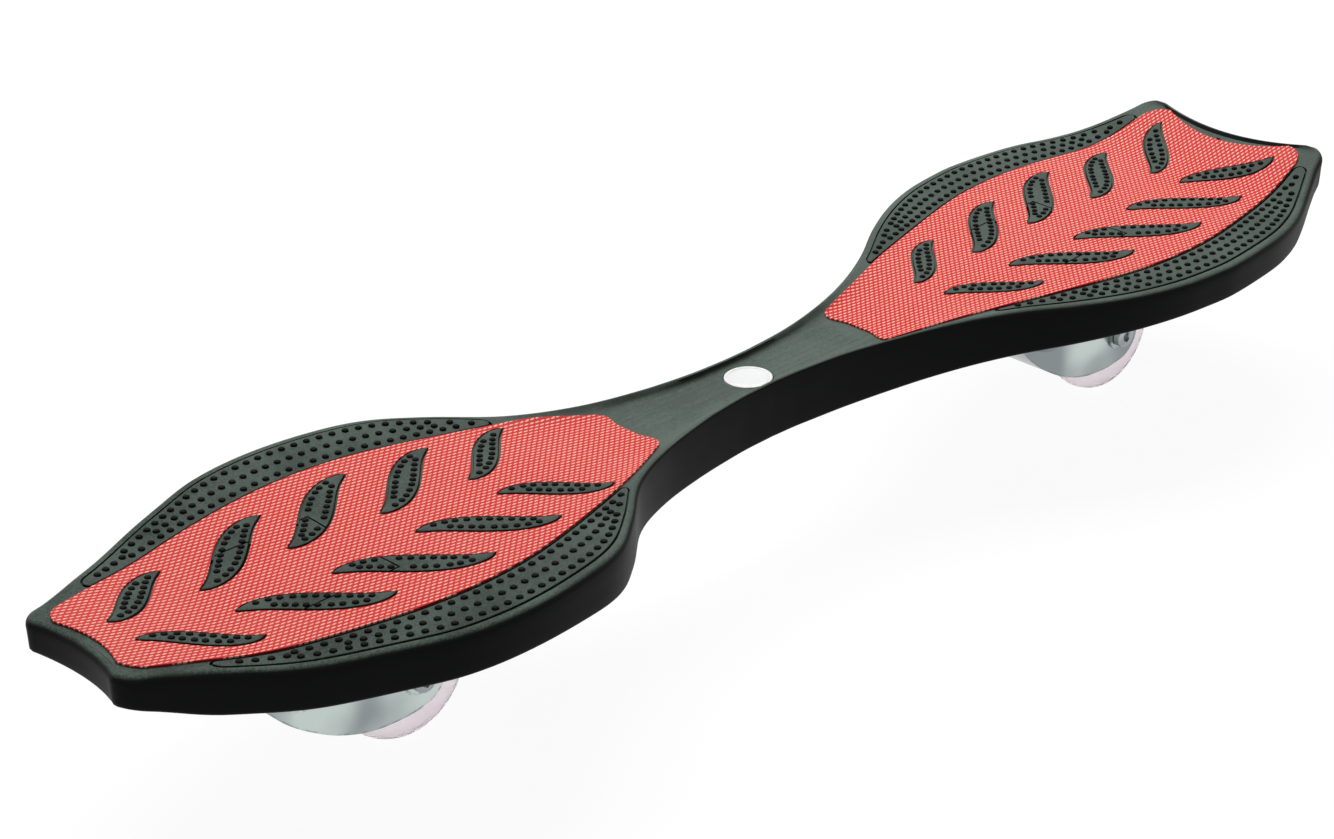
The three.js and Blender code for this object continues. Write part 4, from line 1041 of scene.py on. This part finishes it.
def newGroup(name, inputs, outputs):
    tree = bpy.data.node_groups.new(name, "ShaderNodeTree")
    for label, value in inputs.items():
        socket = tree.interface.new_socket(label, in_out="INPUT", socket_type="NodeSocketFloat")
        socket.default_value = value
    for label in outputs:
        tree.interface.new_socket(label, in_out="OUTPUT", socket_type="NodeSocketFloat")
    return tree, tree.nodes.new("NodeGroupInput"), tree.nodes.new("NodeGroupOutput")


def wire(tree, target, source):
    if hasattr(source, "is_output"):
        tree.links.new(source, target)
    else:
        target.default_value = source


def math2(tree, operation, a, b=0.0, limit=False):
    node = tree.nodes.new("ShaderNodeMath")
    node.operation = operation
    node.use_clamp = limit
    for socket, value in zip(node.inputs, (a, b)):
        wire(tree, socket, value)
    return node.outputs[0]


def noise(tree, vector, scale, detail=3.0, roughness=0.5):
    node = tree.nodes.new("ShaderNodeTexNoise")
    tree.links.new(vector, node.inputs["Vector"])
    wire(tree, node.inputs["Scale"], scale)
    node.inputs["Detail"].default_value = detail
    node.inputs["Roughness"].default_value = roughness
    return node.outputs["Fac"]


def product(tree, *values):
    result = values[0]
    for value in values[1:]:
        result = math2(tree, "MULTIPLY", result, value)
    return result


def swing(tree, value, amount):  # a noise of 0 to 1 as a swing to both sides of nothing
    return product(tree, math2(tree, "SUBTRACT", value, 0.5), amount)


def ramp(tree, value, low, high, toLow=0.0, toHigh=1.0):
    node = tree.nodes.new("ShaderNodeMapRange")
    node.interpolation_type = "SMOOTHSTEP"
    wire(tree, node.inputs["Value"], value)
    for label, number in (("From Min", low), ("From Max", high), ("To Min", toLow), ("To Max", toHigh)):
        wire(tree, node.inputs[label], number)
    return node.outputs["Result"]


def blendColours(tree, share, first, second):
    node = tree.nodes.new("ShaderNodeMix")
    node.data_type = "RGBA"
    wire(tree, node.inputs["Factor"], share)
    wire(tree, node.inputs[6], first)
    wire(tree, node.inputs[7], second)
    return node.outputs[2]


def objectPlace(tree):
    return tree.nodes.new("ShaderNodeTexCoord").outputs["Object"]


def buildGrain():  # fine texture of a moulded surface
    inputs = {"Scale": 1400.0, "Patch Scale": 30.0}
    tree, given, result = newGroup("mouldedGrain", inputs, ["Height", "Tone"])
    place = objectPlace(tree)
    fine = noise(tree, place, given.outputs["Scale"], 4, 0.6)
    patches = noise(tree, place, given.outputs["Patch Scale"], 3, 0.55)
    tree.links.new(fine, result.inputs["Height"])
    tone = math2(tree, "ADD", product(tree, fine, 0.5), product(tree, patches, 0.5))
    tree.links.new(tone, result.inputs["Tone"])
    return tree


def buildEdgeWearAndReflection():  # an edge mask broken up by noise: rubbed edges on plastic, zinc and bearing steel, a painted dark reflection on chrome
    tree, given, result = newGroup("edgeWearAndReflection", {"Width": 0.0012, "Amount": 0.5}, ["Mask"])
    bevel = tree.nodes.new("ShaderNodeBevel")
    bevel.samples = 4
    tree.links.new(given.outputs["Width"], bevel.inputs["Radius"])
    surface = tree.nodes.new("ShaderNodeNewGeometry")
    dot = tree.nodes.new("ShaderNodeVectorMath")
    dot.operation = "DOT_PRODUCT"
    tree.links.new(bevel.outputs["Normal"], dot.inputs[0])
    tree.links.new(surface.outputs["Normal"], dot.inputs[1])
    edge = ramp(tree, math2(tree, "SUBTRACT", 1.0, dot.outputs["Value"]), 0.01, 0.12)
    broken = ramp(tree, noise(tree, objectPlace(tree), 160.0, 4, 0.65), 0.42, 0.62)
    tree.links.new(product(tree, edge, broken, given.outputs["Amount"]), result.inputs["Mask"])
    return tree


def upness(tree):  # how far the surface faces up, from -1 to 1
    parts = tree.nodes.new("ShaderNodeSeparateXYZ")
    tree.links.new(tree.nodes.new("ShaderNodeTexCoord").outputs["Normal"], parts.inputs[0])
    return parts.outputs["Z"]


def buildPaintedTopLight():  # a mask of what faces up, for painted light: tops take the lit colours, walls and undersides a painted shade
    tree, given, result = newGroup("paintedTopLight", {"Low": 0.3, "High": 0.95}, ["Mask"])
    ragged = swing(tree, noise(tree, objectPlace(tree), 90.0, 3), 0.12)
    level = math2(tree, "ADD", upness(tree), ragged)
    tree.links.new(ramp(tree, level, given.outputs["Low"], given.outputs["High"]), result.inputs["Mask"])
    return tree


def buildDust():  # a light film on what faces up
    tree, given, result = newGroup("settledDust", {"Amount": 0.1, "Scale": 18.0}, ["Mask"])
    up = ramp(tree, upness(tree), 0.35, 0.95)
    patches = ramp(tree, noise(tree, objectPlace(tree), given.outputs["Scale"], 5, 0.6), 0.35, 0.7)
    tree.links.new(product(tree, up, patches, given.outputs["Amount"]), result.inputs["Mask"])
    return tree


def buildSmudges():  # uneven gloss from handling
    inputs = {"Base": 0.3, "Swing": 0.1, "Scale": 40.0}
    tree, given, result = newGroup("smudges", inputs, ["Roughness", "Height"])
    place = objectPlace(tree)
    cloud = noise(tree, place, given.outputs["Scale"], 5, 0.6)
    uneven = math2(tree, "ADD", given.outputs["Base"], swing(tree, cloud, given.outputs["Swing"]), limit=True)
    tree.links.new(uneven, result.inputs["Roughness"])
    tree.links.new(noise(tree, place, 900.0, 2), result.inputs["Height"])
    return tree


def buildStreaksAndSheen():  # long faint flow marks on top of the deck, strongest along the neck, and a painted sheen share that is nil on the nose platform and full from the neck to the tail
    tree, given, result = newGroup("flowStreaksAndSheen", {"Amount": 0.3}, ["Share", "PaintedSheen"])
    parts = tree.nodes.new("ShaderNodeSeparateXYZ")
    tree.links.new(objectPlace(tree), parts.inputs[0])
    joined = tree.nodes.new("ShaderNodeCombineXYZ")
    wire(tree, joined.inputs["X"], product(tree, parts.outputs["X"], 9.0))
    wire(tree, joined.inputs["Y"], product(tree, parts.outputs["Y"], 330.0))
    lines = noise(tree, joined.outputs[0], 1.0, 4, 0.6)
    near = ramp(tree, math2(tree, "ABSOLUTE", parts.outputs["X"]), 0.04, 0.16, 1.0, 0.25)
    # painted sheen: rises from the nose platform to full just before the middle and stays full to the tail
    tree.links.new(ramp(tree, parts.outputs["X"], -0.3, -0.07), result.inputs["PaintedSheen"])
    share = product(tree, swing(tree, lines, 2.4), near, given.outputs["Amount"])
    tree.links.new(share, result.inputs["Share"])
    return tree


effects = {
    "grain": buildGrain(), "streaks": buildStreaksAndSheen(), "wearAndReflection": buildEdgeWearAndReflection(), "top": buildPaintedTopLight(),
    "dust": buildDust(), "smudges": buildSmudges(),
}


def effect(tree, name, **values):
    node = tree.nodes.new("ShaderNodeGroup")
    node.node_tree = effects[name]
    for label, value in values.items():
        wire(tree, node.inputs[label.replace("_", " ")], value)
    return node.outputs


def newMaterial(name, roughness, metallic=0.0, **sockets):
    made = bpy.data.materials.new(name)
    made.use_nodes = True
    tree = made.node_tree
    shader = tree.nodes["Principled BSDF"]
    shader.inputs["Roughness"].default_value = roughness
    shader.inputs["Metallic"].default_value = metallic
    for label, value in sockets.items():
        shader.inputs[label.replace("_", " ")].default_value = value
    return made, tree, shader


def coverColour(tree, shader, colour, amount, scale, film):  # a film of dust over the colour
    dust = effect(tree, "dust", Amount=amount, Scale=scale)["Mask"]
    tree.links.new(blendColours(tree, dust, colour, linear(film)), shader.inputs["Base Color"])


def unevenGloss(tree, shader, base, amount, scale):
    gloss = effect(tree, "smudges", Base=base, Swing=amount, Scale=scale)
    tree.links.new(gloss["Roughness"], shader.inputs["Roughness"])
    return gloss["Height"]


def bump(tree, shader, height, strength, distance):
    node = tree.nodes.new("ShaderNodeBump")
    node.inputs["Strength"].default_value = strength
    node.inputs["Distance"].default_value = distance
    tree.links.new(height, node.inputs["Height"])
    tree.links.new(node.outputs["Normal"], shader.inputs["Normal"])


# side: painted shade for what does not face up; dark and light: the top's colours as lit from above; pale: a
# painted sheen from the neck to the tail; worn: rubbed edges
plasticValues = {
    "deck": {"side": (14, 15, 15), "dark": (46, 57, 51), "light": (84, 99, 91), "pale": (104, 116, 109),
             "worn": (116, 126, 121), "roughness": 0.5, "specular": 0.06, "grain": 760.0, "depth": 0.00009,
             "dust": 0.03, "streaks": 1.0},
    "pad": {"side": (12, 14, 13), "dark": (48, 58, 53), "light": (84, 97, 90), "pale": (92, 104, 97),
            "worn": (90, 101, 95), "roughness": 0.58, "specular": 0.06, "grain": 900.0, "depth": 0.00006,
            "dust": 0.03, "streaks": 0.12},
    "dots": {"side": (3, 4, 4), "dark": (7, 9, 8), "light": (15, 19, 17), "pale": (14, 17, 16),
             "worn": (40, 46, 43), "roughness": 0.5, "specular": 0.03, "grain": 2200.0, "depth": 0.00003,
             "dust": 0.01, "streaks": 0.0},
    "seal": {"side": (18, 18, 18), "dark": (22, 22, 22), "light": (34, 34, 34), "pale": (30, 30, 30),
             "worn": (70, 70, 70), "roughness": 0.6, "specular": 0.2, "grain": 2000.0, "depth": 0.00004,
             "dust": 0.04, "streaks": 0.0},
}


def plastic(name, values):
    roughness = values["roughness"]
    made, tree, shader = newMaterial(name, roughness, IOR=1.5, Specular_IOR_Level=values["specular"])
    grain = effect(tree, "grain", Scale=values["grain"], Patch_Scale=26.0)
    streaks = effect(tree, "streaks", Amount=values["streaks"])
    tone = math2(tree, "ADD", ramp(tree, grain["Tone"], 0.38, 0.62), streaks["Share"], limit=True)
    upper = blendColours(tree, tone, linear(values["dark"]), linear(values["light"]))
    # painted sheen: pales the lit top towards the pale colour from the neck to the tail
    upper = blendColours(tree, product(tree, streaks["PaintedSheen"], 0.42), upper, linear(values["pale"]))
    # painted light: faces that point up get the lit top colours, the rest get the painted shade of the side
    # colour
    top = effect(tree, "top", Low=0.62, High=0.95)["Mask"]
    body = blendColours(tree, top, linear(values["side"]), upper)
    worn = effect(tree, "wearAndReflection", Width=0.0012, Amount=0.3)["Mask"]
    body = blendColours(tree, worn, body, linear(values["worn"]))
    coverColour(tree, shader, body, values["dust"], 22.0, (176, 176, 170))
    unevenGloss(tree, shader, roughness, 0.16, 26.0)
    bump(tree, shader, grain["Height"], 0.55, values["depth"])
    return made


weaveValues = {
    "column": 2.6, "row": 3.25, "stitchLength": 2.8, "stitchWidth": 1.15, "wobble": 0.2,
    "base": (240, 30, 34), "deep": (200, 14, 22), "thread": (255, 212, 188), "dust": (225, 205, 200),
    "roughness": 0.55, "depth": 0.00022,
}


def wovenFilm():  # slanted pale stitches in diagonal columns on red
    w, slant = weaveValues, 1 / math.sqrt(2)
    made, tree, shader = newMaterial("wovenFilm", w["roughness"], IOR=1.48, Specular_IOR_Level=0.25)
    parts = tree.nodes.new("ShaderNodeSeparateXYZ")
    tree.links.new(objectPlace(tree), parts.inputs[0])
    x, y = parts.outputs["X"], parts.outputs["Y"]
    wobble = swing(tree, noise(tree, objectPlace(tree), 210.0, 2), w["wobble"])
    along = product(tree, math2(tree, "ADD", x, y), slant / (w["row"] * mm))
    across = product(tree, math2(tree, "SUBTRACT", x, y), slant / (w["column"] * mm))
    across = math2(tree, "ADD", across, wobble)
    along = math2(tree, "ADD", along, product(tree, math2(tree, "FLOOR", across), 0.5))
    down = swing(tree, math2(tree, "FRACT", along), w["row"] * slant)
    over = swing(tree, math2(tree, "FRACT", across), w["column"] * slant)
    thin = math2(tree, "DIVIDE", math2(tree, "SUBTRACT", down, over), w["stitchWidth"] / 2)
    long = math2(tree, "DIVIDE", math2(tree, "ADD", down, over), w["stitchLength"] / 2)
    reach = math2(tree, "ADD", math2(tree, "POWER", thin, 2.0), math2(tree, "POWER", long, 2.0))
    thread = ramp(tree, reach, 1.1, 0.5)
    between = ramp(tree, reach, 1.1, 2.2)
    strand = noise(tree, objectPlace(tree), 700.0, 3, 0.6)
    ground = blendColours(tree, product(tree, between, 0.85), linear(w["base"]), linear(w["deep"]))
    share = product(tree, thread, ramp(tree, strand, 0.3, 0.62, 0.6, 1.0))
    colour = blendColours(tree, share, ground, linear(w["thread"]))
    coverColour(tree, shader, colour, 0.03, 14.0, w["dust"])
    unevenGloss(tree, shader, w["roughness"], 0.14, 20.0)
    bump(tree, shader, math2(tree, "ADD", thread, product(tree, strand, 0.25)), 0.6, w["depth"])
    return made


# chromePlate: its dark and light patches are a painted reflection of the studio and its edge colour a painted
# dark reflection; on zinc and bearing steel the patches are tone and the edge colour is wear
metalValues = {
    "chromePlate": {"dark": (136, 143, 145), "light": (196, 208, 204), "edge": (84, 86, 90),
                    "roughness": 0.22, "swing": 0.1, "dust": 0.02, "patch": 24.0},
    "zincPlate": {"dark": (150, 154, 156), "light": (186, 189, 190), "edge": (196, 198, 199),
                  "roughness": 0.34, "swing": 0.12, "dust": 0.05, "patch": 60.0},
    "bearingSteel": {"dark": (126, 129, 133), "light": (160, 163, 166), "edge": (180, 182, 184),
                     "roughness": 0.27, "swing": 0.1, "dust": 0.03, "patch": 60.0},
}


def metal(name):
    values = metalValues[name]
    made, tree, shader = newMaterial(name, values["roughness"], 1.0)
    # patches: a painted reflection on chrome, tone on zinc and bearing steel
    tonePatchesAndReflection = noise(tree, objectPlace(tree), values["patch"], 1.5, 0.4)
    body = blendColours(tree, ramp(tree, tonePatchesAndReflection, 0.34, 0.66), linear(values["dark"]), linear(values["light"]))
    # edge colour: a painted dark reflection on chrome, rubbed edges on zinc and bearing steel
    edge = effect(tree, "wearAndReflection", Width=0.0022, Amount=1.0)["Mask"]
    body = blendColours(tree, edge, body, linear(values["edge"]))
    coverColour(tree, shader, body, values["dust"], 60.0, (120, 118, 112))
    height = unevenGloss(tree, shader, values["roughness"], values["swing"], 45.0)
    bump(tree, shader, height, 0.08, 0.00001)
    return made


paleValues = {  # dust: amount, scale, colour; gloss: roughness, swing, scale; bump: strength, distance
    "castUrethane": {"low": (246, 234, 240), "high": (252, 245, 248), "grain": (320.0, 34.0),
                     "dust": (0.04, 40.0, (206, 198, 196)), "gloss": (0.42, 0.14, 30.0),
                     "bump": (0.2, 0.00004), "sockets": {"IOR": 1.12, "Transmission_Weight": 0.85}},
    "badgeGloss": {"low": (250, 252, 251), "high": (255, 255, 255), "grain": (700.0, 40.0),
                   "dust": (0.05, 60.0, (190, 190, 185)), "gloss": (0.25, 0.12, 60.0),
                   "bump": (0.15, 0.00003), "sockets": {"IOR": 1.5}},
    "coreNylon": {"low": (224, 222, 221), "high": (236, 234, 233), "grain": (700.0, 40.0),
                  "dust": (0.05, 60.0, (190, 190, 185)), "gloss": (0.4, 0.12, 60.0),
                  "bump": (0.15, 0.00003), "sockets": {"IOR": 1.5}},
}


def paleMoulding(name):  # the tyre's cast urethane lets a little light in
    values = paleValues[name]
    made, tree, shader = newMaterial(name, values["gloss"][0], **values["sockets"])
    grain = effect(tree, "grain", Scale=values["grain"][0], Patch_Scale=values["grain"][1])
    tone = ramp(tree, grain["Tone"], 0.35, 0.65)
    body = blendColours(tree, tone, linear(values["low"]), linear(values["high"]))
    coverColour(tree, shader, body, *values["dust"])
    unevenGloss(tree, shader, *values["gloss"])
    bump(tree, shader, grain["Height"], *values["bump"])
    return made


dotRubber = plastic("dotRubber", plasticValues["dots"])
finishes = {  # the second material of pads and leaves is for their dots
    "deck": [plastic("deckPlastic", plasticValues["deck"])],
    "leaf": [plastic("leafPlastic", plasticValues["pad"]), dotRubber],
    "pad": [plastic("padRubber", plasticValues["pad"]), dotRubber],
    "sheet": [wovenFilm()],
    "badge": [paleMoulding("badgeGloss")],
    "chrome": [metal("chromePlate")],
    "zinc": [metal("zincPlate")],
    "bearing": [metal("bearingSteel")],
    "seal": [plastic("sealRubber", plasticValues["seal"])],
    "core": [paleMoulding("coreNylon")],
    "tyre": [paleMoulding("castUrethane")],
}
print("materials ready")


# assembly

dress(makeDeck(), "deck", "deck", "deck")
dress(makeBadge(), "deck", "badge", "centre_badge")
for end in ends:
    name = end["name"]
    dress(makeSheet(end), "deck", "sheet", name + "_grip_sheet")
    leaves = makeLeaves(end)
    paint(leaves, "leaf")
    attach(leaves, "deck")
    dress(makeBayCover(end), "deck", "deck", name + "_bay_cover")
    dress(makePad(end, -1), "deck", "pad", name + "_tread_pad_left")
    dress(makePad(end, 1), "deck", "pad", name + "_tread_pad_right")
    print(name, "top ready")
    casterPieces(end)
    print(name, "caster ready")


# studio

studioValues = {
    "key": {"place": (0.45, 0.75, 2.0), "size": (2.4, 1.6), "power": 50.0},
    "fill": {"place": (-1.9, -1.6, 0.9), "size": (1.6, 1.0), "power": 3.0},
    "aim": (0, 0, 0.08), "world": 0.1,
    "floorColour": 0.1, "floorGlow": 0.94, "floorReach": 9.0, "floorGap": 0.0002,
}
cameraValues = {
    "lens": 80.15, "sensor": 36.0, "place": (-0.9917, -1.00423, 0.79444),
    "right": (0.7238, -0.6896, -0.0256), "down": (-0.3269, -0.31, -0.8928),
    "ahead": (0.6077, 0.6545, -0.4498),
}


def addLamp(name, values):
    lamp = bpy.data.lights.new(name, "AREA")
    lamp.shape = "RECTANGLE"
    lamp.size, lamp.size_y = values["size"]
    lamp.energy = values["power"]
    holder = bpy.data.objects.new(name, lamp)
    bpy.context.scene.collection.objects.link(holder)
    holder.location = values["place"]
    aim = Vector(studioValues["aim"]) - holder.location
    holder.rotation_euler = aim.to_track_quat("-Z", "Y").to_euler()


def seenRays(tree):  # one for rays that should find the pale background
    path = tree.nodes.new("ShaderNodeLightPath")
    both = math2(tree, "MAXIMUM", path.outputs["Is Camera Ray"], path.outputs["Is Glossy Ray"])
    return math2(tree, "MAXIMUM", both, path.outputs["Is Transmission Ray"])


def makeFloor():
    reach = studioValues["floorReach"]
    points = [(-reach, -reach, 0), (reach, -reach, 0), (reach, reach, 0), (-reach, reach, 0)]
    mesh = bpy.data.meshes.new("floor")
    mesh.from_pydata(points, [], [(0, 1, 2, 3)])
    floor = bpy.data.objects.new("floor", mesh)
    floor.location.z = cadLow.z - studioValues["floorGap"]
    bpy.context.scene.collection.objects.link(floor)
    made = bpy.data.materials.new("paleFloor")
    made.use_nodes = True
    tree = made.node_tree
    tree.nodes.clear()
    matt = tree.nodes.new("ShaderNodeBsdfDiffuse")
    matt.inputs["Color"].default_value = (studioValues["floorColour"],) * 3 + (1,)
    glow = tree.nodes.new("ShaderNodeEmission")
    wire(tree, glow.inputs["Strength"], product(tree, seenRays(tree), studioValues["floorGlow"]))
    both = tree.nodes.new("ShaderNodeAddShader")
    tree.links.new(matt.outputs[0], both.inputs[0])
    tree.links.new(glow.outputs[0], both.inputs[1])
    clear = tree.nodes.new("ShaderNodeBsdfTransparent")
    surface = tree.nodes.new("ShaderNodeNewGeometry")
    side = tree.nodes.new("ShaderNodeMixShader")
    tree.links.new(surface.outputs["Backfacing"], side.inputs[0])
    tree.links.new(both.outputs[0], side.inputs[1])
    tree.links.new(clear.outputs[0], side.inputs[2])
    tree.links.new(side.outputs[0], tree.nodes.new("ShaderNodeOutputMaterial").inputs["Surface"])
    mesh.materials.append(made)


def makeWorld():
    world = bpy.data.worlds.new("studio")
    bpy.context.scene.world = world
    world.use_nodes = True
    tree = world.node_tree
    back = tree.nodes["Background"]
    back.inputs["Color"].default_value = (1, 1, 1, 1)
    wire(tree, back.inputs["Strength"], ramp(tree, seenRays(tree), 0.0, 1.0, studioValues["world"], 1.0))


def makeCamera():
    lens = bpy.data.cameras.new("camera")
    lens.lens, lens.sensor_width = cameraValues["lens"], cameraValues["sensor"]
    camera = bpy.data.objects.new("camera", lens)
    bpy.context.scene.collection.objects.link(camera)
    right, down, ahead = [Vector(cameraValues[key]) for key in ("right", "down", "ahead")]
    turn = Matrix((right, -down, -ahead)).transposed()
    camera.matrix_world = Matrix.Translation(cameraValues["place"]) @ turn.to_4x4()
    bpy.context.scene.camera = camera


makeFloor()
makeWorld()
makeCamera()
addLamp("key", studioValues["key"])
addLamp("fill", studioValues["fill"])
bpy.context.scene.view_settings.view_transform = "Standard"
print("studio ready")
